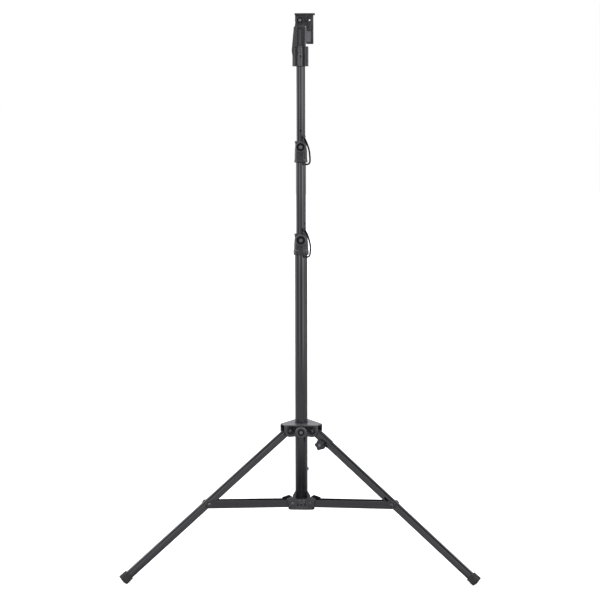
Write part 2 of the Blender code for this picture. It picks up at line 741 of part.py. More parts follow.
def make_collars():
    make_collar(
        "lower_collar", LOWER_COLLAR_BOTTOM, BASE_TUBE_R, MIDDLE_TUBE_R,
        LOWER_COLLAR_TOP_R, LOWER_COLLAR_FOOT_R, LOWER_KNOB_R)
    make_collar(
        "upper_collar", UPPER_COLLAR_BOTTOM, MIDDLE_TUBE_R, TOP_TUBE_R,
        UPPER_COLLAR_TOP_R, UPPER_COLLAR_FOOT_R, UPPER_KNOB_R)


# Safety pins and lanyards

def make_pin(name, collar_bottom, top_r):
    """A safety pin in its holder: a shank, a flange on the holder's rim and a round head."""
    rim = collar_bottom + COLLAR_HEIGHT + HOLDER_ABOVE_COLLAR + GAP
    tip = rim - PIN_DEPTH
    neck = rim + PIN_FLANGE
    head = rim + PIN_HEAD_RISE
    ball = arc(0.0, head - tip, PIN_HEAD_R, 90.0, -50.0, 6)
    profile = [(0.0, ball[0][1])] + ball[1:] + [
        (PIN_R + PIN_NECK, neck - tip),
        (PIN_FLANGE_R, neck - tip),
        (PIN_FLANGE_R, rim - tip),
        (PIN_R, rim - tip),
        (PIN_R, PIN_POINT),
        (PIN_R - PIN_POINT, 0.0),
        (0.0, 0.0),
    ]
    piece = place(turned(name, profile, SMALL_SIDES), COLUMN, (HOLDER_X, holder_y(top_r), tip))
    finish(piece, "black_steel")


def smooth_route(points, spacing):
    """Points at an even spacing on a smooth curve through the route's own points."""
    ends = [2 * points[0] - points[1]] + points + [2 * points[-1] - points[-2]]
    dense = []
    fine = 24
    for index in range(1, len(ends) - 2):
        before, start, end, after = ends[index - 1:index + 3]
        for step in range(fine):
            t = step / fine
            dense.append(0.5 * (
                2 * start + (end - before) * t
                + (2 * before - 5 * start + 4 * end - after) * t ** 2
                + (3 * start - before - 3 * end + after) * t ** 3))
    dense.append(points[-1])
    total = sum((b - a).length for a, b in zip(dense, dense[1:]))
    count = max(2, round(total / spacing))
    result = [dense[0]]
    walked = 0.0
    for a, b in zip(dense, dense[1:]):
        walked += (b - a).length
        if walked >= total * len(result) / count and len(result) < count:
            result.append(b)
    result.append(dense[-1])
    return result


def make_lanyard(name, route, collar_bottom, top_r, foot_r):
    """A lanyard from a pin's head to the lug under its collar, as one round cord."""
    pin_y = holder_y(top_r)
    lug_y = lug_place(foot_r)
    points = []
    for x, front, z in route:
        share = min(max(z * MM / COLLAR_HEIGHT, 0.0), 1.0)
        y = lug_y + share * (pin_y - lug_y) - front * MM
        points.append(Vector((x * MM, y, z * MM)))
    curve = bpy.data.curves.new(name, "CURVE")
    curve.dimensions = "3D"
    curve.bevel_depth = 0.5 * LANYARD_DIAMETER
    curve.bevel_resolution = 2
    curve.resolution_u = 1
    curve.render_resolution_u = 0
    curve.use_fill_caps = True
    spline = curve.splines.new("POLY")
    smooth = smooth_route(points, LANYARD_SPACING)
    spline.points.add(len(smooth) - 1)
    for point, place_on_route in zip(spline.points, smooth):
        point.co = (*place_on_route, 1.0)
    source = bpy.data.objects.new(name, curve)
    STAND.objects.link(source)
    piece = from_mesh(name, evaluated(source, name))
    place(piece, COLUMN, (0.0, 0.0, collar_bottom))
    finish(piece, "cord")


def make_pins():
    make_pin("lower_safety_pin", LOWER_COLLAR_BOTTOM, LOWER_COLLAR_TOP_R)
    make_pin("upper_safety_pin", UPPER_COLLAR_BOTTOM, UPPER_COLLAR_TOP_R)
    make_lanyard(
        "lower_lanyard", LOWER_LANYARD_ROUTE, LOWER_COLLAR_BOTTOM,
        LOWER_COLLAR_TOP_R, LOWER_COLLAR_FOOT_R)
    make_lanyard(
        "upper_lanyard", UPPER_LANYARD_ROUTE, UPPER_COLLAR_BOTTOM,
        UPPER_COLLAR_TOP_R, UPPER_COLLAR_FOOT_R)


# Crown

def arm_corners(radius, half_width):
    """The six outer corners of three arms, in order round the column."""
    corners = []
    for direction in LEG_DIRECTIONS.values():
        angle = math.radians(direction)
        for across in (-half_width, half_width):
            corners.append((
                radius * math.cos(angle) - across * math.sin(angle),
                radius * math.sin(angle) + across * math.cos(angle)))
    return corners


def add_cheeks(body, name, outline, half_gap, thickness):
    """Joins a pair of upright cheeks to the body for each leg."""
    for side, leg_frame in LEG_FRAMES.items():
        for hand in (-1, 1):
            cheek = flat(name + "_" + side, [outline], thickness, upright=True)
            across = hand * (half_gap + 0.5 * thickness)
            join(body, tool(cheek, leg_frame, (0.0, across, 0.0)))


def make_crown():
    low = CROWN_PIVOT_HEIGHT - CROWN_DROP
    high = CROWN_PIVOT_HEIGHT + CROWN_RISE
    body = place(turned("crown_body", [
        (0.0, high), (CROWN_RING_R, high), (CROWN_RING_R, low), (0.0, low)], TUBE_SIDES), COLUMN)
    root = BASE_TUBE_R
    outline = [(root, high), (CROWN_ARM_RADIUS, high)]
    outline += arc(CROWN_PIVOT_RADIUS, CROWN_PIVOT_HEIGHT, CROWN_DROP, 0.0, -90.0, 6)
    outline += [(root, low)]
    add_cheeks(body, "crown_cheek", outline, 0.5 * CROWN_CHEEK_GAP, CROWN_CHEEK)
    boss = rod("crown_boss", CROWN_BOSS_R, -CROWN_BOSS_REACH, -BASE_TUBE_R, MEDIUM_SIDES, "Y")
    join(body, tool(boss, COLUMN, (0.0, 0.0, CROWN_PIVOT_HEIGHT)))
    bore = rod("crown_bore", CROWN_BORE_R, low - MARGIN, high + MARGIN, TUBE_SIDES)
    reach = CROWN_BOSS_REACH + MARGIN
    cut(body, tool(bore, COLUMN), *screw_way(COLUMN, CROWN_PIVOT_HEIGHT, BASE_TUBE_R, reach))
    arm_half = 0.5 * CROWN_CHEEK_GAP + CROWN_CHEEK
    pivot = (CROWN_PIVOT_RADIUS, 0.0, CROWN_PIVOT_HEIGHT)
    for side, leg_frame in LEG_FRAMES.items():
        hole = rod("crown_pivot_hole", BOLT_R + HOLE_GAP, -2 * arm_half, 2 * arm_half, along="Y")
        cut(body, tool(hole, leg_frame, pivot))
        cross_bolt("crown_pivot_bolt_" + side, leg_frame, pivot, arm_half)
    finish(body, "cast_paint")

    plate_outline = arm_corners(CROWN_ARM_RADIUS, arm_half)
    plate_hole = circle(0.0, 0.0, CROWN_BORE_R, TUBE_SIDES)
    plate = flat("crown_top_plate", [plate_outline, plate_hole], CROWN_PLATE)
    place(plate, COLUMN, (0.0, 0.0, high + GAP + 0.5 * CROWN_PLATE))
    finish(plate, "plate_paint")

    liner_outer = CROWN_BORE_R - GAP
    liner = tube("crown_liner", liner_outer, BASE_TUBE_R + GAP, low, high + CROWN_PLATE)
    place(liner, COLUMN)
    cut(liner, pad_way(COLUMN, CROWN_PIVOT_HEIGHT, BASE_TUBE_R))
    finish(liner, "nylon")
    clamp_pad("crown_pad", COLUMN, CROWN_PIVOT_HEIGHT, BASE_TUBE_R)
    tip = BASE_TUBE_R + PAD_THICKNESS + 2 * GAP
    seat = CROWN_BOSS_REACH + KNOB_GAP
    front_knob("crown_knob", COLUMN, CROWN_PIVOT_HEIGHT, tip, seat, CROWN_KNOB_R)


# Lower hub

def make_hub():
    body = place(turned("lower_hub", [
        (0.0, HUB_RING_TOP),
        (HUB_RING_R, HUB_RING_TOP),
        (HUB_RING_R, HUB_FLOOR),
        (0.0, HUB_FLOOR),
    ], TUBE_SIDES), COLUMN)
    half = 0.5 * HUB_CHEEK_GAP + HUB_CHEEK
    plate_half = half + HUB_PLATE_EDGE
    plate = flat("hub_plate", [arm_corners(HUB_PLATE_RADIUS, plate_half)], HUB_PLATE)
    join(body, tool(plate, COLUMN, (0.0, 0.0, HUB_FLOOR + 0.5 * HUB_PLATE)))
    outline = [
        (HUB_CHEEK_ROOT, HUB_FLOOR + MARGIN),
        (HUB_CHEEK_ROOT, HUB_RING_TOP - HUB_CHEEK_STEP),
        (0.5 * HUB_PIVOT_RADIUS, HUB_RING_TOP - 0.25 * HUB_CHEEK_STEP),
        (0.85 * HUB_PIVOT_RADIUS, HUB_FIN_TOP),
        (HUB_CHEEK_RADIUS, HUB_SHOULDER),
        (HUB_CHEEK_RADIUS, HUB_SHOULDER - HUB_CHEEK_NOSE),
        (HUB_CHEEK_LOW_RADIUS, HUB_SHOULDER - HUB_CHEEK_NOSE - HUB_CHEEK_UNDERCUT),
        (HUB_CHEEK_LOW_RADIUS, HUB_PIVOT_HEIGHT - HUB_BELOW_PIVOT),
        (HUB_PLATE_RADIUS, HUB_PIVOT_HEIGHT - HUB_BELOW_PIVOT),
        (HUB_PLATE_RADIUS, HUB_FLOOR + MARGIN),
    ]
    add_cheeks(body, "hub_cheek", outline, 0.5 * HUB_CHEEK_GAP, HUB_CHEEK)
    gusset_outline = [
        (HUB_BORE_R - MARGIN, HUB_RING_TOP - MARGIN),
        (HUB_BORE_R - MARGIN, HUB_GUSSET_TOP),
        (HUB_GUSSET_RADIUS, HUB_FIN_TOP),
        (HUB_GUSSET_RADIUS, HUB_RING_TOP - MARGIN),
    ]
    for side, leg_frame in LEG_FRAMES.items():
        gusset = flat("hub_gusset_" + side, [gusset_outline], HUB_GUSSET, upright=True)
        join(body, tool(gusset, leg_frame))
    bore = rod("hub_bore", HUB_BORE_R, HUB_FLOOR - MARGIN, HUB_GUSSET_TOP + MARGIN, TUBE_SIDES)
    screw_hole = rod("hub_screw_hole", SCREW_R + HOLE_GAP, -2 * HUB_RING_R, 0.0, along="Y")
    cut(body, tool(bore, COLUMN), tool(screw_hole, COLUMN, (0.0, 0.0, HUB_SCREW_HEIGHT)))
    pivot = (HUB_PIVOT_RADIUS, 0.0, HUB_PIVOT_HEIGHT)
    for side, leg_frame in LEG_FRAMES.items():
        hole = rod("hub_pivot_hole", BOLT_R + HOLE_GAP, -2 * half, 2 * half, along="Y")
        cut(body, tool(hole, leg_frame, pivot))
        cross_bolt("hub_pivot_bolt_" + side, leg_frame, pivot, half)
    finish(body, "cast_paint")

    head_face = HUB_RING_R + GAP
    tip = -BASE_TUBE_R - 2 * GAP
    screw = rod("hub_fixing_screw", SCREW_R, -head_face - MARGIN, tip, along="Y")
    place(screw, COLUMN, (0.0, 0.0, HUB_SCREW_HEIGHT))
    head = rod("hub_screw_head", HUB_SCREW_HEAD_R, -head_face - HUB_SCREW_HEAD, -head_face, 6, "Y")
    join(screw, tool(head, COLUMN, (0.0, 0.0, HUB_SCREW_HEIGHT)))
    finish(screw, "black_steel")


# Legs

LEG_PIVOT = (CROWN_PIVOT_RADIUS, 0.0, CROWN_PIVOT_HEIGHT)
LEG_TILT = (0.0, LEG_SLOPE, 0.0)


def make_foot(side, leg_size):
    """A rubber cap on the leg's end, worn flat where it stands."""
    leg_frame = LEG_FRAMES[side]
    start = FOOT_END - FOOT_LENGTH
    half = 0.5 * FOOT
    foot = box("foot_" + side, (start, -half, -half), (FOOT_END, half, half))
    place(foot, leg_frame, LEG_PIVOT, LEG_TILT)
    inside = 0.5 * leg_size + GAP
    pocket = box(
        "foot_pocket", (start - MARGIN, -inside, -inside), (FOOT_END - FOOT_SOLE, inside, inside))
    ground = box("ground", (0.0, -FOOT, -FOOT), (2 * FOOT_END, FOOT, 0.0))
    cut(foot, tool(pocket, leg_frame, LEG_PIVOT, LEG_TILT), tool(ground, leg_frame))
    finish(foot, "rubber")


def make_plain_leg(side):
    leg = square_tube("leg_" + side, LEG_TUBE, LEG_WALL, -LEG_END_ABOVE_PIVOT, LEG_END)
    leg_frame = LEG_FRAMES[side]
    place(leg, leg_frame, LEG_PIVOT, LEG_TILT)
    pivot_hole = rod("leg_pivot_hole", BOLT_R + HOLE_GAP, -LEG_TUBE, LEG_TUBE, along="Y")
    stay_hole = rod("leg_stay_hole", BOLT_R + HOLE_GAP, -LEG_TUBE, LEG_TUBE, along="Y")
    stay_hole.data.transform(Matrix.Translation((STAY_JOINT_ALONG_LEG, 0.0, 0.0)))
    cut(
        leg,
        tool(pivot_hole, leg_frame, LEG_PIVOT, LEG_TILT),
        tool(stay_hole, leg_frame, LEG_PIVOT, LEG_TILT))
    finish(leg, "tube_paint")
    make_foot(side, LEG_TUBE)


def star_outline(radius, lobes, steps=4):
    """A knob's outline with round lobes and shallow hollows between them."""
    points = []
    for index in range(lobes * steps):
        angle = 2 * math.pi * index / (lobes * steps)
        wave = (0.5 + 0.5 * math.cos(lobes * angle)) ** 0.6
        reach = radius * (STAR_KNOB_WAIST + (1.0 - STAR_KNOB_WAIST) * wave)
        points.append((reach * math.cos(angle), reach * math.sin(angle)))
    return points


def make_levelling_leg(side):
    """The right leg slides in a sleeve that the crown carries; a star knob pinches it."""
    leg_frame = LEG_FRAMES[side]
    half = 0.5 * SLEEVE
    sleeve = square_tube("leg_sleeve", SLEEVE, SLEEVE_WALL, -LEG_END_ABOVE_PIVOT, SLEEVE_REACH)
    place(sleeve, leg_frame, LEG_PIVOT, LEG_TILT)
    lug_end = STAR_KNOB_BELOW + PINCH_LUG
    for hand in (-1, 1):
        inner = hand * 0.5 * PINCH_SLIT
        outer = hand * half
        lug = box(
            "pinch_lug",
            (STAR_KNOB_ALONG - PINCH_LUG, min(inner, outer), -lug_end),
            (STAR_KNOB_ALONG + PINCH_LUG, max(inner, outer), -half + 0.6 * SLEEVE_WALL))
        join(sleeve, tool(lug, leg_frame, LEG_PIVOT, LEG_TILT))
    slit_half = 0.5 * PINCH_SLIT
    slit = box(
        "pinch_slit",
        (STAR_KNOB_ALONG - PINCH_SLIT_BACK, -slit_half, -half - MARGIN),
        (SLEEVE_REACH + MARGIN, slit_half, -half + 2 * SLEEVE_WALL))
    pivot_hole = rod("sleeve_pivot_hole", BOLT_R + HOLE_GAP, -SLEEVE, SLEEVE, along="Y")
    screw_hole = rod("pinch_hole", SCREW_R + HOLE_GAP, -SLEEVE, SLEEVE, along="Y")
    screw_hole.data.transform(Matrix.Translation((STAR_KNOB_ALONG, 0.0, -STAR_KNOB_BELOW)))
    cut(
        sleeve,
        tool(slit, leg_frame, LEG_PIVOT, LEG_TILT),
        tool(pivot_hole, leg_frame, LEG_PIVOT, LEG_TILT),
        tool(screw_hole, leg_frame, LEG_PIVOT, LEG_TILT))
    finish(sleeve, "tube_paint")

    start = BOLT_R + LEVELLING_CLEAR
    leg = square_tube("leg_" + side, LEVELLING_LEG, LEG_WALL, start, LEG_END)
    place(leg, leg_frame, LEG_PIVOT, LEG_TILT)
    slot_r = BOLT_R + HOLE_GAP
    slot_outline = arc(STAY_JOINT_ALONG_LEG, 0.0, slot_r, -90.0, 90.0, 6)
    slot_outline += arc(STAY_JOINT_ALONG_LEG - LEVELLING_TRAVEL, 0.0, slot_r, 90.0, 270.0, 6)
    slot = flat("stay_slot", [slot_outline], 2 * LEG_TUBE, upright=True)
    cut(leg, tool(slot, leg_frame, LEG_PIVOT, LEG_TILT))
    finish(leg, "tube_paint")
    make_foot(side, LEVELLING_LEG)

    seat = half + GAP
    tilt = Matrix.Rotation(LEG_SLOPE, 4, "Y")
    offset = tilt @ Vector((STAR_KNOB_ALONG, 0.0, -STAR_KNOB_BELOW))
    centre = Vector(LEG_PIVOT) + offset
    grip = seat + KNOB_GAP
    outline = star_outline(STAR_KNOB_R, STAR_KNOB_LOBES)
    knob = flat("star_knob", [outline], STAR_KNOB_THICKNESS, upright=True)
    knob.data.transform(Matrix.Translation((0.0, -grip - 0.5 * STAR_KNOB_THICKNESS, 0.0)))
    place(knob, leg_frame, centre, LEG_TILT)
    collar_r = STAR_KNOB_BELOW - half + STAR_KNOB_COLLAR
    collar = rod("star_knob_collar", collar_r, -grip - MARGIN, -seat, MEDIUM_SIDES, "Y")
    screw_end = seat + NUT + MARGIN
    screw = rod("star_knob_screw", SCREW_R, -grip - MARGIN, screw_end, along="Y")
    nut = rod("star_knob_nut", NUT_R, seat, seat + NUT, 6, "Y")
    join(
        knob,
        tool(collar, leg_frame, centre, LEG_TILT),
        tool(screw, leg_frame, centre, LEG_TILT),
        tool(nut, leg_frame, centre, LEG_TILT))
    finish(knob, "knob_plastic")


def make_legs():
    make_plain_leg("left")
    make_plain_leg("rear")
    make_levelling_leg("right")


# Stays

def make_stay(side):
    """Two flat bars between the hub and the leg, with a bolt and a nut at the leg."""
    leg_frame = LEG_FRAMES[side]
    half = 0.5 * STAY_WIDTH
    outline = arc(0.0, 0.0, half, 90.0, 270.0, 6) + arc(STAY_LENGTH, 0.0, half, -90.0, 90.0, 6)
    holes = [
        circle(0.0, 0.0, BOLT_R + HOLE_GAP),
        circle(STAY_LENGTH, 0.0, BOLT_R + HOLE_GAP),
    ]
    pivot = Vector((HUB_PIVOT_RADIUS, 0.0, HUB_PIVOT_HEIGHT))
    tilt = (0.0, -STAY_SLOPE, 0.0)
    inner = 0.5 * STAY_GAP
    outer = inner + STAY_BAR
    for hand, which in ((-1, "bar_a"), (1, "bar_b")):
        bar = flat("stay_" + side + "_" + which, [outline] + holes, STAY_BAR, upright=True)
        bar.data.transform(Matrix.Translation((0.0, hand * (inner + 0.5 * STAY_BAR), 0.0)))
        place(bar, leg_frame, pivot, tilt)
        finish(bar, "tube_paint")
    ends = (
        ("stay_bolt_" + side, inner + GAP, outer + GAP, BOLT_HEAD),
        ("stay_nut_" + side, -inner - GAP, -outer - GAP, -NUT),
    )
    for name, shank, seat, head in ends:
        root = seat + 0.2 * head
        bolt = rod(name, BOLT_R, min(shank, root), max(shank, root), along="Y")
        ends_of_cap = sorted((seat, seat + head))
        cap = rod(name + "_cap", BOLT_HEAD_R, *ends_of_cap, 6, "Y")
        for item in (bolt, cap):
            item.data.transform(Matrix.Translation((STAY_LENGTH, 0.0, 0.0)))
        place(bolt, leg_frame, pivot, tilt)
        join(bolt, tool(cap, leg_frame, pivot, tilt))
        finish(bolt, "black_steel")


def make_stays():
    for side in LEG_DIRECTIONS:
        make_stay(side)


# Head

def make_head_casting():
    """The clamp casting on the top tube: a sleeve, a slanted body and a fork."""
    half_x = 0.5 * HEAD_SLEEVE_X
    half_y = 0.5 * HEAD_SLEEVE_Y
    corner = HEAD_CORNER
    outline = []
    for index, (x, y) in enumerate(((1, 1), (-1, 1), (-1, -1), (1, -1))):
        outline += arc(
            x * (half_x - corner), y * (half_y - corner), corner,
            90.0 * index, 90.0 * (index + 1), 4)
    casting = flat("head_casting", [outline], HEAD_SLEEVE_TOP - HEAD_BOTTOM)
    place(casting, COLUMN, (HEAD_SLEEVE_SHIFT, 0.0, 0.5 * (HEAD_SLEEVE_TOP + HEAD_BOTTOM)))
    body = flat("head_body", [[
        (HEAD_BODY_LEFT_FOOT, HEAD_BODY_FOOT),
        (HEAD_BODY_RIGHT, HEAD_BODY_FOOT),
        (HEAD_BODY_RIGHT, HEAD_BODY_TOP),
        (HEAD_BODY_LEFT_TOP, HEAD_BODY_TOP),
        (HEAD_BODY_LEFT_SHOULDER, HEAD_BODY_SHOULDER),
    ]], HEAD_BODY_Y, upright=True)
    rib = rod("head_rib", HEAD_RIB_R, HEAD_BOTTOM, HEAD_RIB_TOP, MEDIUM_SIDES)
    rib_y = -half_y + HEAD_RIB_INSET * HEAD_RIB_R
    join(casting, tool(body, COLUMN), tool(rib, COLUMN, (0.0, rib_y, 0.0)))
    cheek_outline = arc(TILT_X, TILT_HEIGHT, TILT_CHEEK_R, 0.0, 180.0, 12)
    cheek_outline += [
        (TILT_X - TILT_CHEEK_R, HEAD_BODY_TOP - HEAD_OVERLAP),
        (TILT_X + TILT_CHEEK_R, HEAD_BODY_TOP - HEAD_OVERLAP),
    ]
    cheek_y = 0.5 * TILT_WEB + GAP + 0.5 * TILT_CHEEK
    for hand in (-1, 1):
        cheek = flat("head_cheek", [cheek_outline], TILT_CHEEK, upright=True)
        join(casting, tool(cheek, COLUMN, (0.0, hand * cheek_y, 0.0)))
    for low, high in HEAD_CHANNELS:
        channel = box(
            "head_channel",
            (low, -half_y, HEAD_CHANNEL_FOOT),
            (high, -0.5 * HEAD_BODY_Y + HEAD_CHANNEL_DEPTH, HEAD_CHANNEL_TOP))
        cut(casting, tool(channel, COLUMN))
    seat_top = HEAD_BOTTOM + HEAD_SOCKET_DEPTH
    seat = rod("head_seat", TOP_TUBE_R + GAP, HEAD_BOTTOM - MARGIN, seat_top, TUBE_SIDES)
    reach = HEAD_SLEEVE_Y + HEAD_RIB_R
    screw_hole = rod("head_screw_hole", SCREW_R + HOLE_GAP, -reach, 0.0, along="Y")
    tilt_hole = rod("tilt_hole", SCREW_R + HOLE_GAP, -HEAD_SLEEVE_Y, HEAD_SLEEVE_Y, along="Y")
    cut(
        casting,
        tool(seat, COLUMN),
        tool(screw_hole, COLUMN, (0.0, 0.0, HEAD_SCREW_HEIGHT)),
        tool(tilt_hole, COLUMN, (TILT_X, 0.0, TILT_HEIGHT)))
    finish(casting, "cast_paint")

    face = HEAD_RIB_R - rib_y + GAP
    screw = rod("head_clamp_screw", SCREW_R, -face - MARGIN, -TOP_TUBE_R - 2 * GAP, along="Y")
    place(screw, COLUMN, (0.0, 0.0, HEAD_SCREW_HEIGHT))
    head = rod(
        "head_screw_head", HEAD_SCREW_HEAD_R, -face - HEAD_SCREW_HEAD, -face, MEDIUM_SIDES, "Y")
    join(screw, tool(head, COLUMN, (0.0, 0.0, HEAD_SCREW_HEIGHT)))
    finish(screw, "black_steel")


def make_tilt_bracket():
    """The tilting bracket: a barrel in the fork, a flat top plate and a hanging socket."""
    pivot = (TILT_X, 0.0, TILT_HEIGHT)
    under = TOP_PLATE_BOTTOM - TILT_HEIGHT
    top = STAND_HEIGHT - TILT_HEIGHT
    barrel_r = TILT_CHEEK_R - BARREL_INSET
    half_web = 0.5 * TILT_WEB
    bracket = rod("tilt_bracket", barrel_r, -half_web, half_web, MEDIUM_SIDES, "Y")
    place(bracket, COLUMN, pivot)
    plate = box(
        "bracket_plate",
        (TOP_PLATE_LEFT - TILT_X, -0.5 * TOP_PLATE_Y, under),
        (TOP_PLATE_RIGHT - TILT_X, 0.5 * TOP_PLATE_Y, top))
    web_y = half_web - WEB_INSET
    web_right = BRACKET_LEFT - TILT_X + BRACKET_OVERLAP
    web = box(
        "bracket_web",
        (WEB_LEFT - TILT_X, -web_y, -MARGIN),
        (web_right, web_y, under + BRACKET_OVERLAP))
    nose = box(
        "bracket_web_nose",
        (WEB_NOSE_LEFT - TILT_X, -web_y, -WEB_NOSE_BELOW),
        (web_right, web_y, MARGIN))
    block = box(
        "bracket_block",
        (BRACKET_LEFT - TILT_X, -0.5 * BRACKET_Y, BRACKET_BOTTOM - TILT_HEIGHT),
        (BRACKET_RIGHT - TILT_X, 0.5 * BRACKET_Y, under + BRACKET_OVERLAP))
    for item in (web, nose, block, plate):
        join(bracket, tool(item, COLUMN, pivot))
    spigot_x = 0.5 * (BRACKET_LEFT + BRACKET_RIGHT)
    bore_top = BRACKET_BOTTOM + SPIGOT_DEPTH
    bore = rod("spigot_bore", SPIGOT_BORE_R, BRACKET_BOTTOM - MARGIN, bore_top, KNOB_SIDES)
    window = rod("bracket_window", WINDOW_R, -BRACKET_Y, BRACKET_Y, along="Y")
    slot_r = 0.5 * SLOT_WIDTH
    slot_outline = arc(SLOT_X, SLOT_LOW + slot_r, slot_r, 180.0, 360.0, 6)
    slot_outline += arc(SLOT_X, SLOT_HIGH - slot_r, slot_r, 0.0, 180.0, 6)
    slot = flat("bracket_slot", [slot_outline], 2 * SLOT_DEPTH, upright=True)
    screw_hole = rod("socket_screw_hole", SOCKET_SCREW_R + HOLE_GAP, -BRACKET_Y, 0.0, along="Y")
    pivot_hole = rod("bracket_pivot_hole", SCREW_R + HOLE_GAP, -BRACKET_Y, BRACKET_Y, along="Y")
    cut(
        bracket,
        tool(bore, COLUMN, (spigot_x, 0.0, 0.0)),
        tool(window, COLUMN, (WINDOW_X, 0.0, WINDOW_HEIGHT)),
        tool(slot, COLUMN, (0.0, -0.5 * BRACKET_Y, 0.0)),
        tool(screw_hole, COLUMN, (spigot_x, 0.0, SOCKET_SCREW_HEIGHT)),
        tool(pivot_hole, COLUMN, pivot))
    finish(bracket, "cast_paint")

    face = 0.5 * BRACKET_Y + GAP
    screw = rod("socket_screw", SOCKET_SCREW_R, -face - MARGIN, -SPIGOT_BORE_R, along="Y")
    place(screw, COLUMN, (spigot_x, 0.0, SOCKET_SCREW_HEIGHT))
    head = rod("socket_screw_head", SOCKET_SCREW_HEAD_R, -face - SOCKET_SCREW_HEAD, -face, along="Y")
    join(screw, tool(head, COLUMN, (spigot_x, 0.0, SOCKET_SCREW_HEIGHT)))
    finish(screw, "black_steel")


def make_tilt_lock():
    """The tilt knob, whose screw is the bracket's pivot, and the nut behind the fork."""
    cheek_face = 0.5 * TILT_WEB + GAP + TILT_CHEEK
    nut_near = cheek_face + GAP
    nut_far = nut_near + NUT
    seat = cheek_face + TILT_KNOB_GAP
    profile = knob_profile(
        TILT_KNOB_R, TILT_KNOB_THICKNESS, TILT_KNOB_FACE_R, TILT_KNOB_DISC_R, nut_far + seat)
    knob = turned("tilt_knob", profile, KNOB_SIDES)
    place(knob, COLUMN, (TILT_X, nut_far, TILT_HEIGHT), (math.pi / 2, 0.0, 0.0))
    finish(knob, "knob_plastic")
    outlines = [circle(0.0, 0.0, NUT_R, 6), circle(0.0, 0.0, SCREW_R + HOLE_GAP)]
    nut = flat("tilt_nut", outlines, NUT, upright=True)
    place(nut, COLUMN, (TILT_X, 0.5 * (nut_near + nut_far), TILT_HEIGHT))
    finish(nut, "black_steel")


make_column()
make_sliding_tubes()
make_collars()
make_pins()
make_crown()
make_hub()
make_legs()
make_stays()
make_head_casting()
make_tilt_bracket()
make_tilt_lock()
bpy.context.view_layer.update()
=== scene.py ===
"""Looks of the light stand: camera, light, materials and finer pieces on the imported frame.

Shapes are drawn in millimetres, and at() and move() turn them into the row frame's metres.
Pieces of the column are made round the column's axis, pieces of a leg in that leg's own
frame (x outwards along the floor, z up).
"""
import bpy
import bmesh
import math
from mathutils import Matrix, Vector


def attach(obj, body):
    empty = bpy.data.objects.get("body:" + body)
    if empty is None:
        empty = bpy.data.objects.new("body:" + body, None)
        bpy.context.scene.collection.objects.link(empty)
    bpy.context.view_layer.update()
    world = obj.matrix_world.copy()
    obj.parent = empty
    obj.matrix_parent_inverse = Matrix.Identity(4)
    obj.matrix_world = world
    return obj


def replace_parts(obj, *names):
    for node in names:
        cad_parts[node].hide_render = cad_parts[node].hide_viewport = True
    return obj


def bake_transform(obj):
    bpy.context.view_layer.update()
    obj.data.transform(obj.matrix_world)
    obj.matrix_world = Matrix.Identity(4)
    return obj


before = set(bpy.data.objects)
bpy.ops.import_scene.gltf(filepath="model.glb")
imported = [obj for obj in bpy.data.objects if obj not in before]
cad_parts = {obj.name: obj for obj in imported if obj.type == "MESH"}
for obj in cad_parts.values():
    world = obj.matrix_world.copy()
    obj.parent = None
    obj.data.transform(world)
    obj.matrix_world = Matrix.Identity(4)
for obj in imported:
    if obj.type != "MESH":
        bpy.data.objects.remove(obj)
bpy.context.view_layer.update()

MM = 0.001
COLUMN_Y = -0.1894479    # in metres
LEG_ANGLES = {"rear": 90.0, "left": 210.0, "right": 330.0}

# Places and lengths as in the CAD, in millimetres
CROWN_PIVOT = (61.0, 0.0, 522.0)
HUB_PIVOT = (54.0, 0.0, 227.0)
LEG_SLOPE = math.radians(35.5)
STAY_SLOPE = math.radians(6.109340)
STAY_LENGTH = 367.788
STAY_JOINT = 440.6
FOOT_END = 879.222
STAR_ALONG = 62.0
STAR_BELOW = 18.0
CROWN_SCREW_Z = 522.0
HUB_SCREW_Z = 221.0
LOWER_COLLAR = 1222.0
UPPER_COLLAR = 1585.0
COLLAR_SCREW = 60.5
LOWER_PIN_Y = -27.24
UPPER_PIN_Y = -24.54
PIN_X = 13.5
LUG_X = 12.6
TILT_X = -2.6
TILT_Z = 2134.0
SOCKET_X = 35.2
BOLT_R = 4.0
THREAD_ROOT_R = 3.3
HEXAGON_R = 7.2
WASHER_R = 7.5
HOLE_R = 4.3
PAD_WAY_R = 5.3
PIN_HOLE_R = 4.0


def move(x, y, z):
    """A shift given in millimetres."""
    return Matrix.Translation((x * MM, y * MM, z * MM))


COLUMN = Matrix.Translation((0.0, COLUMN_Y, 0.0))
FRONT = Matrix.Rotation(math.pi / 2, 4, "X")
BACK = FRONT @ Matrix.Rotation(math.pi, 4, "X")
LEG = {s: COLUMN @ Matrix.Rotation(math.radians(a), 4, "Z") for s, a in LEG_ANGLES.items()}
LEG_LINE = {s: m @ move(*CROWN_PIVOT) @ Matrix.Rotation(LEG_SLOPE, 4, "Y") for s, m in LEG.items()}
STAY_LINE = {s: m @ move(*HUB_PIVOT) @ Matrix.Rotation(-STAY_SLOPE, 4, "Y") for s, m in LEG.items()}


def at(x, y, z):
    """A place given from the column's axis, in millimetres."""
    return COLUMN @ move(x, y, z)


# Camera, as fitted to the photo: metres and radians

CAMERA_DISTANCE = 6.220
CAMERA_HEIGHT = 1.758
CAMERA_SIDE = 0.02115
CAMERA_TURN = 0.0219
CAMERA_DOWN = 0.11469
CAMERA_ROLL = -0.00201


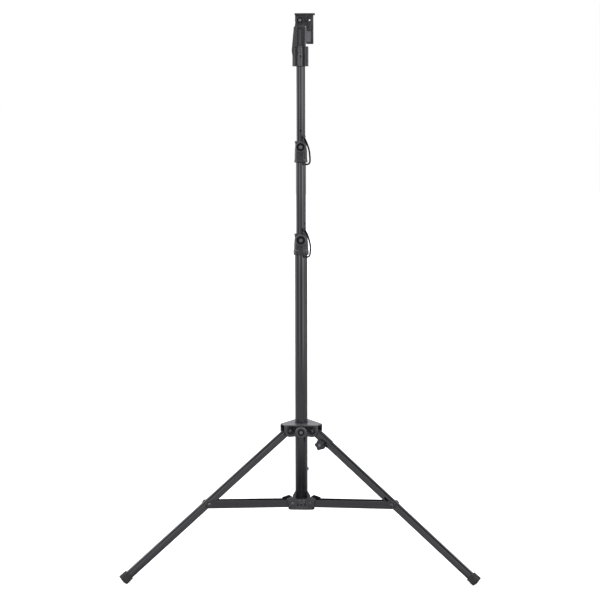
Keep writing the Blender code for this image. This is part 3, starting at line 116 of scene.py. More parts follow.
def add_camera():
    data = bpy.data.cameras.new("camera")
    data.sensor_width = 36.0
    data.lens = 94.727
    data.clip_end = 100.0
    camera = bpy.data.objects.new("camera", data)
    camera.location = (
        CAMERA_DISTANCE * math.sin(CAMERA_SIDE),
        COLUMN_Y - CAMERA_DISTANCE * math.cos(CAMERA_SIDE), CAMERA_HEIGHT)
    look = Matrix.Rotation(CAMERA_TURN, 4, "Z")
    look = look @ Matrix.Rotation(math.pi / 2 - CAMERA_DOWN, 4, "X")
    look = look @ Matrix.Rotation(CAMERA_ROLL, 4, "Z")
    camera.rotation_euler = look.to_euler()
    bpy.context.scene.collection.objects.link(camera)
    bpy.context.scene.camera = camera


add_camera()


# Materials

def node(tree, kind, **values):
    made = tree.nodes.new(kind)
    for name, value in values.items():
        setattr(made, name, value)
    return made


def noise(tree, coordinates, scale, detail, roughness, stretch=None):
    """A noise texture in object space; stretch scales the axes apart."""
    source = coordinates
    if stretch:
        mapping = node(tree, "ShaderNodeMapping")
        mapping.inputs["Scale"].default_value = stretch
        tree.links.new(coordinates, mapping.inputs["Vector"])
        source = mapping.outputs["Vector"]
    texture = node(tree, "ShaderNodeTexNoise")
    texture.inputs["Scale"].default_value = scale
    texture.inputs["Detail"].default_value = detail
    texture.inputs["Roughness"].default_value = roughness
    tree.links.new(source, texture.inputs["Vector"])
    return texture.outputs["Fac"]


def spread(tree, source, low, high, out_low, out_high):
    """Maps a value from one range to another."""
    made = node(tree, "ShaderNodeMapRange")
    made.inputs["From Min"].default_value = low
    made.inputs["From Max"].default_value = high
    made.inputs["To Min"].default_value = out_low
    made.inputs["To Max"].default_value = out_high
    tree.links.new(source, made.inputs["Value"])
    return made.outputs["Result"]


def mixed(tree, factor, first, second):
    """Mixes two colours, each a colour or another node's output, by a factor."""
    made = node(tree, "ShaderNodeMix", data_type="RGBA")
    # In this node, sockets 6 and 7 are the two colours and output 2 is their mix
    tree.links.new(factor, made.inputs["Factor"])
    for socket, value in ((made.inputs[6], first), (made.inputs[7], second)):
        if isinstance(value, tuple):
            socket.default_value = (*value, 1.0)
        else:
            tree.links.new(value, socket)
    return made.outputs[2]


def maths(tree, operation, first, second=None):
    made = node(tree, "ShaderNodeMath", operation=operation)
    for socket, value in zip(made.inputs, (first, second)):
        if isinstance(value, float):
            socket.default_value = value
        elif value is not None:
            tree.links.new(value, socket)
    return made.outputs[0]


def surface(name, colour, second, roughness, metallic=0.0, **more):
    """A paint, plastic or metal with mottled colour, uneven gloss, grain and worn edges."""
    patch = more.get("patch", 30.0)
    stretch = more.get("stretch")
    grain = more.get("grain", 900.0)
    made = bpy.data.materials.new(name)
    made.use_nodes = True
    tree = made.node_tree
    shader = tree.nodes["Principled BSDF"]
    shader.inputs["Metallic"].default_value = metallic
    shader.inputs["Specular IOR Level"].default_value = more.get("specular", 0.5)
    place = node(tree, "ShaderNodeTexCoord").outputs["Object"]
    blotches = noise(tree, place, patch, 5.0, 0.6, stretch)
    base = mixed(tree, spread(tree, blotches, 0.35, 0.7, 0.0, 1.0), colour, second)
    edge = node(tree, "ShaderNodeNewGeometry").outputs["Pointiness"]
    worn = spread(tree, edge, 0.53, 0.62, 0.0, more.get("wear", 0.25))
    base = mixed(tree, worn, base, more.get("wear_colour", (0.16, 0.16, 0.17)))
    tree.links.new(base, shader.inputs["Base Color"])
    smears = noise(tree, place, 2.3 * patch, 6.0, 0.7, stretch)
    gloss = spread(tree, smears, 0.3, 0.75, roughness[0], roughness[1])
    tree.links.new(gloss, shader.inputs["Roughness"])
    fine = noise(tree, place, grain, 3.0, 0.6, more.get("grain_stretch"))
    bump = node(tree, "ShaderNodeBump")
    bump.inputs["Strength"].default_value = more.get("bump", 0.08)
    bump.inputs["Distance"].default_value = 0.3 * MM
    tree.links.new(fine, bump.inputs["Height"])
    tree.links.new(bump.outputs["Normal"], shader.inputs["Normal"])
    return made


def braid(name):
    """Braided cord: two crossing sets of strands, by the cord's own UV map."""
    made = bpy.data.materials.new(name)
    made.use_nodes = True
    tree = made.node_tree
    shader = tree.nodes["Principled BSDF"]
    shader.inputs["Roughness"].default_value = 0.75
    shader.inputs["Specular IOR Level"].default_value = 0.0
    place = node(tree, "ShaderNodeUVMap", uv_map="along").outputs["UV"]
    strands = []
    for turn in (0.7, -0.7):
        mapping = node(tree, "ShaderNodeMapping")
        mapping.inputs["Rotation"].default_value = (0.0, 0.0, turn)
        tree.links.new(place, mapping.inputs["Vector"])
        wave = node(tree, "ShaderNodeTexWave", wave_type="BANDS", wave_profile="SIN")
        wave.inputs["Scale"].default_value = 1.6
        tree.links.new(mapping.outputs["Vector"], wave.inputs["Vector"])
        strands.append(wave.outputs["Fac"])
    high = maths(tree, "MAXIMUM", *strands)
    # Darker where neither set of strands rises: painted shade in the gaps between the strands; the cord
    # itself is black
    colour = mixed(tree, high, (0.0008, 0.0008, 0.0008), (0.004, 0.004, 0.004))
    tree.links.new(colour, shader.inputs["Base Color"])
    bump = node(tree, "ShaderNodeBump")
    bump.inputs["Strength"].default_value = 0.6
    bump.inputs["Distance"].default_value = 0.4 * MM
    tree.links.new(high, bump.inputs["Height"])
    tree.links.new(bump.outputs["Normal"], shader.inputs["Normal"])
    return made


TUBE = surface(
    "tube_gloss_black", (0.004, 0.004, 0.005), (0.007, 0.007, 0.008), (0.06, 0.11), patch=14.0,
    stretch=(6.0, 6.0, 0.5), grain=500.0, grain_stretch=(4.0, 4.0, 0.2), bump=0.02,
    specular=1.0, wear=0.08)
LEG_PAINT = surface(
    "leg_gloss_black", (0.002, 0.002, 0.0025), (0.004, 0.004, 0.0045), (0.05, 0.10),
    patch=18.0, grain=700.0, bump=0.015, specular=1.0, wear=0.15)
CAST = surface(
    "cast_satin_black", (0.005, 0.005, 0.006), (0.010, 0.010, 0.011), (0.13, 0.22),
    patch=40.0, grain=1300.0, bump=0.04, specular=1.0, wear=0.3)
PLATE = surface(
    "plate_satin_grey", (0.030, 0.031, 0.034), (0.050, 0.051, 0.055), (0.26, 0.38),
    patch=45.0, grain=1100.0, bump=0.12, specular=0.8, wear=0.5, wear_colour=(0.30, 0.30, 0.31))
GRIP = surface(
    "grip_grey_plastic", (0.026, 0.026, 0.028), (0.036, 0.036, 0.039), (0.26, 0.38),
    patch=60.0, grain=2200.0, bump=0.10, specular=0.8, wear=0.3, wear_colour=(0.16, 0.16, 0.16))
LINING = surface(
    "lining_matt_black", (0.002, 0.002, 0.002), (0.004, 0.004, 0.004), (0.5, 0.7),
    patch=70.0, grain=2000.0, bump=0.12, specular=0.2, wear=0.0)
PLASTIC = surface(
    "knob_black_plastic", (0.006, 0.006, 0.007), (0.010, 0.010, 0.011), (0.22, 0.34),
    patch=60.0, grain=2200.0, bump=0.10, specular=0.9, wear=0.3, wear_colour=(0.10, 0.10, 0.10))
CAP = surface(
    "cap_grey_plastic", (0.070, 0.070, 0.076), (0.105, 0.105, 0.112), (0.25, 0.38),
    patch=80.0, grain=1800.0, wear=0.3)
RUBBER = surface(
    "foot_rubber", (0.009, 0.009, 0.009), (0.016, 0.016, 0.015), (0.55, 0.75),
    patch=55.0, grain=1500.0, bump=0.25, wear=0.4, wear_colour=(0.06, 0.06, 0.057))
NYLON = surface(
    "nylon_black", (0.010, 0.010, 0.011), (0.016, 0.016, 0.017), (0.40, 0.55),
    patch=50.0, grain=1600.0, bump=0.10)
STEEL = surface(
    "blackened_steel", (0.050, 0.050, 0.053), (0.100, 0.100, 0.106), (0.22, 0.38), 0.9,
    patch=90.0, grain=1800.0, bump=0.10, wear=0.6, wear_colour=(0.35, 0.35, 0.36))
BRASS = surface(
    "brass_pad", (0.42, 0.30, 0.12), (0.50, 0.37, 0.16), (0.28, 0.45), 1.0,
    patch=90.0, grain=1200.0, wear_colour=(0.6, 0.5, 0.3))
CORD = braid("braided_cord")


# Shapes

SHARP_ANGLE = 38.0


def eased(points, radius, closed=False, steps=3):
    """A line of points with its corners rounded."""
    made = []
    count = len(points)
    for index, point in enumerate(points):
        if not closed and index in (0, count - 1):
            made.append(tuple(point))
            continue
        here = Vector(point)
        back = Vector(points[index - 1]) - here
        ahead = Vector(points[(index + 1) % count]) - here
        size = min(radius, 0.45 * back.length, 0.45 * ahead.length)
        start = here + size * back.normalized()
        end = here + size * ahead.normalized()
        for step in range(steps + 1):
            t = step / steps
            made.append(tuple((1 - t) ** 2 * start + 2 * t * (1 - t) * here + t * t * end))
    return made


def arc(x, y, radius, start, end, steps):
    """Points on an arc, both ends included; angles in degrees."""
    points = []
    for index in range(steps + 1):
        angle = math.radians(start + (end - start) * index / steps)
        points.append((x + radius * math.cos(angle), y + radius * math.sin(angle)))
    return points


def circle(x, y, radius, sides):
    return arc(x, y, radius, 0.0, 360.0 - 360.0 / sides, sides - 1)


def rounded_box(low, high, corner):
    """Outline of a rectangle with round corners."""
    points = []
    for index, (x, y) in enumerate((high, (low[0], high[1]), low, (high[0], low[1]))):
        inset_x = corner if x == low[0] else -corner
        inset_y = corner if y == low[1] else -corner
        points += arc(x + inset_x, y + inset_y, corner, 90.0 * index, 90.0 * (index + 1), 4)
    return points


def crowned_square(side, corner, crown):
    """A rounded square whose top and bottom bow out a little, and reach the full size midway."""
    across = 0.5 * side - corner
    up = across - crown
    points = []
    for index, (x, y) in enumerate(((1, 1), (-1, 1), (-1, -1), (1, -1))):
        points += arc(x * across, y * up, corner, 90.0 * index, 90.0 * (index + 1), 5)
        if index % 2 == 0:
            for step in range(-7, 8):
                bow = up + corner + crown * (1.0 - (step / 8.0) ** 2)
                points.append((-y * step / 8.0 * across, y * bow))
    return points


def finished(name, work, matrix, material, angle=SHARP_ANGLE):
    """An object from a bmesh: faces out, smooth except at its sharp edges."""
    bmesh.ops.remove_doubles(work, verts=work.verts, dist=0.002 * MM)
    bmesh.ops.recalc_face_normals(work, faces=work.faces)
    mesh = bpy.data.meshes.new(name)
    work.to_mesh(mesh)
    work.free()
    mesh.polygons.foreach_set("use_smooth", [True] * len(mesh.polygons))
    mesh.set_sharp_from_angle(angle=math.radians(angle))
    mesh.materials.append(material)
    piece = bpy.data.objects.new(name, mesh)
    piece.matrix_world = matrix
    bpy.context.scene.collection.objects.link(piece)
    return piece


def softened(piece, width, segments, angle=40.0):
    """Rounds the piece's sharp edges; width in millimetres."""
    bevel = piece.modifiers.new("soft edges", "BEVEL")
    bevel.limit_method = "ANGLE"
    bevel.angle_limit = math.radians(angle)
    bevel.width = width * MM
    bevel.segments = segments
    bevel.harden_normals = True
    bevel.use_clamp_overlap = True
    return piece


def spun(name, profile, matrix, material, sides, ring=False, flutes=None):
    """A turned piece about its own +Z, a ring if its profile closes on itself.

    flutes = (count, depth, from this radius)
    """
    work = bmesh.new()
    rows = []
    for radius, height in profile:
        if radius < 0.001:
            rows.append([work.verts.new((0.0, 0.0, height * MM))])
            continue
        row = []
        for index in range(sides):
            angle = 2 * math.pi * index / sides
            reach = radius
            if flutes and radius > flutes[2]:
                reach -= flutes[1] * (0.5 - 0.5 * math.cos(flutes[0] * angle)) ** 2
            x, y = reach * math.cos(angle), reach * math.sin(angle)
            row.append(work.verts.new((x * MM, y * MM, height * MM)))
        rows.append(row)
    pairs = list(zip(rows, rows[1:]))
    if ring:
        pairs.append((rows[-1], rows[0]))
    for first, second in pairs:
        for index in range(sides):
            after = (index + 1) % sides
            if len(first) == 1 and len(second) > 1:
                work.faces.new((first[0], second[index], second[after]))
            elif len(second) == 1 and len(first) > 1:
                work.faces.new((first[index], second[0], first[after]))
            elif len(first) > 1:
                work.faces.new((first[index], second[index], second[after], first[after]))
    return finished(name, work, matrix, material)


def slab(name, outlines, thickness, matrix, material, edge=0.8, segments=2):
    """A flat piece with holes, centred on its thickness, with rounded edges."""
    curve = bpy.data.curves.new(name, "CURVE")
    curve.dimensions = "2D"
    curve.fill_mode = "BOTH"
    curve.extrude = 0.5 * thickness * MM
    for outline in outlines:
        spline = curve.splines.new("POLY")
        spline.points.add(len(outline) - 1)
        for point, (along, across) in zip(spline.points, outline):
            point.co = (along * MM, across * MM, 0.0, 1.0)
        spline.use_cyclic_u = True
    source = bpy.data.objects.new(name, curve)
    mesh = bpy.data.meshes.new_from_object(source)
    bpy.data.objects.remove(source)
    bpy.data.curves.remove(curve)
    work = bmesh.new()
    work.from_mesh(mesh)
    bpy.data.meshes.remove(mesh)
    bmesh.ops.remove_doubles(work, verts=work.verts, dist=0.005 * MM)
    bmesh.ops.dissolve_limit(
        work, angle_limit=math.radians(0.5), verts=work.verts, edges=work.edges)
    piece = finished(name, work, matrix, material)
    if edge:
        softened(piece, edge, segments, 50.0)
    return piece


def block(name, low, high, matrix, material, edge=1.2, segments=3):
    """A box between two corners, with rounded edges."""
    low, high = MM * Vector(low), MM * Vector(high)
    work = bmesh.new()
    bmesh.ops.create_cube(work, size=1.0)
    bmesh.ops.scale(work, vec=high - low, verts=work.verts)
    bmesh.ops.translate(work, vec=0.5 * (high + low), verts=work.verts)
    return softened(finished(name, work, matrix, material), edge, segments)


def rings(work, sections):
    """A row of vertices for each outline (y, z) at its place along +X."""
    return [
        [work.verts.new((along * MM, y * MM, z * MM)) for y, z in outline]
        for along, outline in sections]


def skinned(work, rows):
    """Faces between each row of vertices and the next."""
    for first, second in zip(rows, rows[1:]):
        for index in range(len(first)):
            after = (index + 1) % len(first)
            work.faces.new((first[index], second[index], second[after], first[after]))


def loft(name, sections, matrix, material):
    """Closed skin through outlines along +X, cut off at the floor."""
    work = bmesh.new()
    rows = rings(work, sections)
    skinned(work, rows)
    work.faces.new(rows[0])
    work.faces.new(rows[-1])
    inverse = matrix.inverted()
    edges = bmesh.ops.bisect_plane(
        work, geom=work.verts[:] + work.edges[:] + work.faces[:],
        plane_co=inverse @ Vector((0.0, 0.0, 0.0)),
        plane_no=inverse.to_3x3() @ Vector((0.0, 0.0, -1.0)), clear_outer=True)
    rim = [item for item in edges["geom_cut"] if isinstance(item, bmesh.types.BMEdge)]
    bmesh.ops.contextual_create(work, geom=rim)
    return finished(name, work, matrix, material)


def pipe(name, outer, inner, start, end, matrix, material):
    """A tube of any outline along +X, open at both ends."""
    work = bmesh.new()
    rows = rings(work, ((start, outer), (end, outer), (end, inner), (start, inner)))
    skinned(work, rows + rows[:1])
    return finished(name, work, matrix, material)


def drill(radius, start, end, matrix, sides=24):
    """A round cutter along its own +Z."""
    profile = [(0.0, start), (radius, start), (radius, end), (0.0, end)]
    return spun("drill", profile, matrix, CAST, sides)


def cut(piece, tool):
    """Cuts a tool out of a piece for good and removes the tool."""
    step = piece.modifiers.new("cut", "BOOLEAN")
    step.operation = "DIFFERENCE"
    step.solver = "EXACT"
    step.object = tool
    bpy.context.view_layer.update()
    depsgraph = bpy.context.evaluated_depsgraph_get()
    mesh = bpy.data.meshes.new_from_object(piece.evaluated_get(depsgraph))
    old = piece.data
    piece.modifiers.clear()
    piece.data = mesh
    bpy.data.meshes.remove(old)
    bpy.data.objects.remove(tool)
    mesh.set_sharp_from_angle(angle=math.radians(SHARP_ANGLE))
    return piece


def adds(piece, body):
    """The piece rides on a body."""
    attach(piece, body)
    return piece


def owns(piece, body, node_name):
    """As adds(), and the piece stands for the node."""
    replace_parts(adds(piece, body), node_name)
    return piece


# Lanyards: routes as in the CAD, as offsets from the column's axis and the collar's bottom

LANYARD_R = 3.3 * MM
LOWER_ROUTE = [
    (13.0, -36.4, 104.0), (17.6, -36.9, 97.5), (21.6, -36.6, 89.5), (25.6, -36.1, 81.0),
    (29.6, -35.4, 70.5), (33.2, -34.9, 57.5), (36.2, -34.8, 44.0), (37.8, -34.6, 31.0),
    (37.4, -34.5, 18.5), (35.9, -34.2, 5.6), (34.2, -33.9, -0.65), (29.65, -33.1, -5.2),
    (23.4, -32.2, -6.9), (17.15, -31.4, -5.2), (LUG_X, -30.8, -0.65),
]
UPPER_ROUTE = [
    (11.0, -33.6, 100.2), (15.6, -34.2, 93.5), (19.4, -33.7, 85.5), (23.3, -32.9, 76.5),
    (27.6, -32.3, 65.0), (31.6, -31.8, 52.5), (34.0, -31.5, 40.0), (35.2, -31.1, 28.0),
    (36.0, -30.9, 16.0), (35.9, -30.9, 5.6), (34.2, -30.3, -0.65), (29.65, -29.3, -5.2),
    (23.4, -28.3, -6.9), (17.15, -27.5, -5.2), (LUG_X, -26.9, -0.65),
]


def smooth_line(points, step):
    """Evenly spaced points on a smooth curve through the given ones."""
    ends = [2 * points[0] - points[1]] + points + [2 * points[-1] - points[-2]]
    dense = []
    for index in range(1, len(ends) - 2):
        before, start, end, after = ends[index - 1:index + 3]
        for part in range(24):
            t = part / 24
            dense.append(0.5 * (
                2 * start + (end - before) * t
                + (2 * before - 5 * start + 4 * end - after) * t ** 2
                + (3 * start - before - 3 * end + after) * t ** 3))
    dense.append(points[-1])
    total = sum((b - a).length for a, b in zip(dense, dense[1:]))
    count = round(total / step)
    made = [dense[0]]
    walked = 0.0
    for a, b in zip(dense, dense[1:]):
        walked += (b - a).length
        if walked >= total * len(made) / count and len(made) < count:
            made.append(b)
    made.append(dense[-1])
    return made, total


def cord_tube(name, line, radius, material):
    """A tube along a line, with a UV map: round it and along it, in radii."""
    sides = 12
    work = bmesh.new()
    uv = work.loops.layers.uv.new("along")
    up = Vector((0.0, 1.0, 0.0))
    rows = []
    for index, point in enumerate(line):
        ahead = line[min(index + 1, len(line) - 1)] - line[max(index - 1, 0)]
        side = ahead.cross(up).normalized()
        up = side.cross(ahead).normalized()
        row = []
        for corner in range(sides):
            angle = 2 * math.pi * corner / sides
            offset = radius * (math.cos(angle) * side + math.sin(angle) * up)
            row.append(work.verts.new(point + offset))
        rows.append(row)
    spacing = (line[1] - line[0]).length / radius
    for number, (first, second) in enumerate(zip(rows, rows[1:])):
        for index in range(sides):
            after = (index + 1) % sides
            face = work.faces.new((first[index], second[index], second[after], first[after]))
            left, right = 6.0 * index / sides, 6.0 * (index + 1) / sides
            corners = ((left, number), (left, number + 1), (right, number + 1), (right, number))
            for loop, (across, along) in zip(face.loops, corners):
                loop[uv].uv = (across, along * spacing)
    work.faces.new(rows[0])
    work.faces.new(rows[-1])
    return finished(name, work, Matrix.Identity(4), material, 60.0)


def ferrule(name, point, direction, body):
    """The crimped sleeve at an end of a lanyard."""
    turn = direction.to_track_quat("Z", "Y").to_matrix().to_4x4()
    profile = eased([(0.0, 0.0), (3.1, 0.0), (3.6, 1.2), (3.6, 6.0), (3.0, 7.2), (0.0, 7.2)], 0.5)
    piece = spun(name, profile, Matrix.Translation(point) @ turn, STEEL, 24)
    return adds(piece, body)


def add_lanyard(which, route, bottom, collar_body, pin_body):
    """A lanyard: its foot stays with the collar, its head goes with the pin."""
    name = which + "_lanyard"
    points = [Vector((x * MM, COLUMN_Y + y * MM, (bottom + z) * MM)) for x, y, z in route]
    line, total = smooth_line(points, 2.4 * MM)
    piece = cord_tube(name + "_cord", line, LANYARD_R, CORD)
    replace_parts(piece, name)
    head = ferrule(name + "_head_ferrule", line[0], line[2] - line[0], pin_body)
    foot = ferrule(name + "_foot_ferrule", line[-1], line[-3] - line[-1], collar_body)
    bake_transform(piece)


add_lanyard("lower", LOWER_ROUTE, LOWER_COLLAR, "column", "lower_pin")
add_lanyard("upper", UPPER_ROUTE, UPPER_COLLAR, "middle_section", "upper_pin")


# Column tubes

def column_tube(name, body, radius, low, high, pin_hole=None):
    """A drawn tube with rounded rims; pin_hole = (height, turn in degrees)."""
    inner = radius - 2.0
    profile = eased([(radius, high), (radius, low), (inner, low), (inner, high)], 0.5, True)
    piece = spun(name + "_drawn", profile, at(0, 0, 0), TUBE, 96, ring=True)
    if pin_hole:
        height, turn = pin_hole
        facing = Matrix.Rotation(math.radians(turn), 4, "Z") @ FRONT
        cut(piece, drill(PIN_HOLE_R, 0.0, 2 * radius, at(0, 0, height) @ facing))
    return owns(piece, body, name)


column_tube("base_tube", "column", 25.0, 202.6, 1257.0)
column_tube("middle_tube", "middle_section", 19.6, 635.0, 1620.0, (1346.0, 50.0))
column_tube("top_tube", "top_section", 17.1, 1063.7, 2028.7, (1709.0, 0.0))


# Knobs, screws and bolts

def clamp_knob(name, body, matrix, radius, top, face, disc, shank):
    """A moulded knob with a fluted rim, a dished face, a cap and a threaded shank.

    matrix puts its +Z along the screw's axis, outwards, with the grip's back at height 0.
    """
    rim = radius - face
    grip = eased([
        (0.0, top - 5.0), (face, top - 5.0), (face + 0.08 * rim, top - 0.4),
        (face + 0.25 * rim, top), (face + 0.65 * rim, top - 0.4), (radius, top - 4.0),
        (radius, 5.0), (radius - 3.5, 1.5), (11.0, 0.6), (10.0, 0.0), (0.0, 0.0)],
        min(1.4, 0.25 * rim))
    flutes = (18, 1.5, radius - 2.6)
    owns(spun(name + "_grip", grip, matrix, GRIP, 144, flutes=flutes), body, name)
    lining = [
        (disc + 0.3, top - 4.7), (face - 0.3, top - 4.7), (face + 0.07 * rim, top - 0.8),
        (face + 0.12 * rim, top - 0.8), (face + 0.12 * rim, top - 5.6), (disc + 0.3, top - 5.6)]
    adds(spun(name + "_lining", lining, matrix, LINING, 72, ring=True), body)
    ring = eased([
        (disc + 2.6, top - 5.0), (disc + 2.6, top - 3.6), (disc + 1.6, top - 3.6),
        (disc + 1.6, top - 5.0)], 0.3)
    adds(spun(name + "_ring", ring, matrix, PLASTIC, 64, ring=True), body)
    cap = eased([
        (0.0, top - 0.4), (0.72 * disc, top - 0.5), (disc, top - 1.6), (disc, top - 5.4),
        (0.0, top - 5.4)], 0.8)
    adds(spun(name + "_cap", cap, matrix, CAP, 48), body)
    pitch = shank / 12
    thread = [(0.0, -shank)]
    for index in range(12):
        height = index * pitch - shank
        thread += [(BOLT_R, height), (THREAD_ROOT_R, height + 0.5 * pitch)]
    thread += [(BOLT_R, 0.0), (0.0, 0.0)]
    adds(spun(name + "_thread", thread, matrix, STEEL, 24), body)


def front_knob(name, body, height, tip, seat, radius, face):
    """A clamp knob on the camera side of the column."""
    clamp_knob(name, body, at(0, -seat, height) @ FRONT, radius, 18.0, face, 6.7, seat - tip)


front_knob("crown_knob", "crown_clamp", CROWN_SCREW_Z, 29.0, 61.5, 24.2, 12.6)
front_knob(
    "lower_collar_knob", "lower_clamp", LOWER_COLLAR + COLLAR_SCREW, 23.6, 41.1, 23.6, 16.4)
front_knob(
    "upper_collar_knob", "upper_clamp", UPPER_COLLAR + COLLAR_SCREW, 21.1, 37.1, 21.6, 15.6)
clamp_knob(
    "tilt_knob", "tilt_clamp", at(TILT_X, -18.8, TILT_Z) @ FRONT, 15.4, 15.0, 12.4, 6.2, 43.4)


def hexagon(name, low, high, matrix):
    """A hexagon head or nut with its corners turned down."""
    inner = HEXAGON_R - 0.8
    profile = [
        (0.0, high), (inner, high), (HEXAGON_R, high - 0.4), (HEXAGON_R, low + 0.4), (inner, low),
        (0.0, low)]
    return spun(name, profile, matrix, STEEL, 6)


def washer(name, inner, low, high, matrix):
    profile = eased([(WASHER_R, high), (WASHER_R, low), (inner, low), (inner, high)], 0.2, True)
    return spun(name, profile, matrix, STEEL, 40, ring=True)


def pivot_bolt(name, body, matrix, reach):
    """A bolt across a joint, along the local Y: head at +Y, nut and thread end at -Y."""
    shank = eased([
        (0.0, reach + 6.0), (3.0, reach + 6.0), (BOLT_R, reach + 5.0), (BOLT_R, -reach - 0.5),
        (0.0, -reach - 0.5)], 0.1)
    owns(spun(name + "_shank", shank, matrix @ FRONT, STEEL, 24), body, name)
    low = reach + 0.9
    for label, turn in (("_nut", FRONT), ("_head", BACK)):
        adds(hexagon(name + label, low, reach + 5.0, matrix @ turn), body)
        adds(washer(name + label + "_washer", BOLT_R, reach, low, matrix @ turn), body)


for side, leg_frame in LEG.items():
    pivot_bolt("crown_pivot_bolt_" + side, "crown", leg_frame @ move(*CROWN_PIVOT), 20.6)
    pivot_bolt("hub_pivot_bolt_" + side, "column", leg_frame @ move(*HUB_PIVOT), 20.9)


def stay_fastener(name, body, matrix, turn):
    """A stay's bolt or nut at the leg end, outside the bar that turn faces."""
    face = 17.4
    out = matrix @ move(STAY_LENGTH, 0, 0) @ turn
    shank = eased([
        (0.0, face + 5.5), (3.0, face + 5.5), (3.6, face + 4.8), (3.6, face - 2.6),
        (0.0, face - 2.6)], 0.1)
    owns(spun(name + "_shank", shank, out, STEEL, 24), body, name)
    low = face + 0.9
    adds(hexagon(name + "_hexagon", low, face + 4.8, out), body)
    adds(washer(name + "_washer", 3.6, face, low, out), body)


for side, matrix in STAY_LINE.items():
    stay_fastener("stay_bolt_" + side, side + "_stay", matrix, BACK)
    stay_fastener("stay_nut_" + side, side + "_stay", matrix, FRONT)


# Collars with their pin holders and lugs, and the safety pins

def collar(name, body, bottom, held, sliding, outer, boss_front, holder_y, lug_y, pad_front):
    """A clamp collar: a turned casting, a boss for the screw, a pin holder and a lug."""
    screw = bottom + COLLAR_SCREW
    bush = sliding + 3.3
    bore = [(held, 0.0), (held, 35.3), (bush, 35.3), (bush, 80.0),
            (sliding + 0.6, 80.0), (sliding + 0.6, 84.0)]
    profile = eased(outer + bore, 0.7, True)
    casting = spun(name + "_casting", profile, at(0, 0, bottom), CAST, 96, ring=True)
    owns(cut(casting, drill(PAD_WAY_R, 0.0, 40.0, at(0, 0, screw) @ FRONT)), body, name)

    root = outer[4][0] - 3.0
    boss = slab(
        name + "_boss",
        [rounded_box((-12.5, -21.0), (12.5, 21.0), 5.0), circle(0.0, 0.0, HOLE_R, 24)],
        boss_front - root, at(0, -0.5 * (boss_front + root), screw) @ FRONT, CAST, 1.6, 3)
    adds(boss, body)
    for label, x in (("_jaw_left", -5.8), ("_jaw_right", 5.8)):
        place = at(x, -pad_front, bottom + 1.2)
        adds(block(name + label, (-4.9, 0.0, 0.0), (4.9, 9.0, 41.0), place, CAST, 1.0), body)

    rim = 91.0
    floor = rim - 38.3
    holder = eased([
        (0.0, floor), (3.3, floor), (3.3, rim), (5.9, rim), (6.3, rim - 2.5),
        (6.3, rim - 41.0), (4.0, rim - 44.0), (0.0, rim - 44.0)], 0.6)
    adds(spun(name + "_holder", holder, at(PIN_X, holder_y, bottom), CAST, 40), body)
    web = block(
        name + "_holder_web", (-4.0, 0.0, 0.0), (4.0, 8.0, 36.0),
        at(PIN_X, holder_y, bottom + 48.0), CAST)
    adds(web, body)
    lug = eased([(0.0, 2.2), (4.0, 2.2), (4.0, 14.2), (0.0, 14.2)], 0.8)
    adds(spun(name + "_lug", lug, at(LUG_X, lug_y, bottom), CAST, 32), body)


collar(
    "lower_collar", "column", LOWER_COLLAR, 25.3, 19.6, [
        (27.0, 84.0), (27.6, 82.5), (27.6, 78.5), (26.2, 76.0), (26.0, 66.0), (28.0, 45.0),
        (28.8, 21.0), (29.2, 19.0), (30.5, 16.8), (30.5, 2.5), (29.8, 0.0)],
    39.6, LOWER_PIN_Y, -28.76, 31.4)
collar(
    "upper_collar", "middle_section", UPPER_COLLAR, 19.9, 17.1, [
        (23.6, 84.0), (24.2, 82.5), (24.2, 77.0), (22.6, 74.0), (22.2, 62.0), (24.4, 44.0),
        (24.9, 13.0), (25.2, 10.0), (26.2, 5.0), (26.2, 1.5), (25.4, 0.0)],
    35.6, UPPER_PIN_Y, -24.38, 27.2)


def safety_pin(which, collar_bottom, y):
    """A pull pin: pointed shank, flange on the holder and a ball head."""
    ball = arc(0.0, 48.0, 5.8, 84.0, -50.0, 12)
    profile = [(0.0, 53.8)] + ball + [
        (3.4, 41.4), (3.4, 40.2), (4.7, 39.9), (5.2, 39.3), (5.2, 38.3), (4.9, 38.0),
        (3.0, 38.0), (3.0, 1.2), (2.0, 0.0), (0.0, 0.0)]
    name = which + "_safety_pin"
    piece = spun(name + "_turned", profile, at(PIN_X, y, collar_bottom + 53.3), STEEL, 36)
    owns(piece, which + "_pin", name)


safety_pin("lower", LOWER_COLLAR, LOWER_PIN_Y)
safety_pin("upper", UPPER_COLLAR, UPPER_PIN_Y)


# Crown

CROWN_LOW = 498.0
CROWN_HIGH = 544.6


def yoke_plate(name, radius, half_width, hole, low, material, edge):
    """A plate over the ends of three arms, 4 mm thick, with rounded corners and a bore."""
    corners = []
    for direction in LEG_ANGLES.values():
        angle = math.radians(direction)
        for across in (-half_width, half_width):
            corners.append((
                radius * math.cos(angle) - across * math.sin(angle),
                radius * math.sin(angle) + across * math.cos(angle)))
    outlines = [eased(corners, 3.0, True, 5), circle(0.0, 0.0, hole, 96)]
    plate = slab(name, outlines, 4.0, at(0, 0, low + 2.0), material, edge)
    # Clamped, the edge's width would depend on where the fill joins the bore to the outline
    plate.modifiers["soft edges"].use_clamp_overlap = False
    return plate


def cheeks(name, body, outline, half_gap, thickness, hole, edge):
    """Paired cheeks for each leg, upright, with the pivot's hole."""
    for side, leg_frame in LEG.items():
        for label, hand in (("a", -1), ("b", 1)):
            place = leg_frame @ move(0, hand * (half_gap + 0.5 * thickness), 0) @ FRONT
            cheek = slab(
                "_".join((name, side, label)), [outline, circle(*hole, HOLE_R, 24)], thickness,
                place, CAST, edge)
            adds(cheek, body)


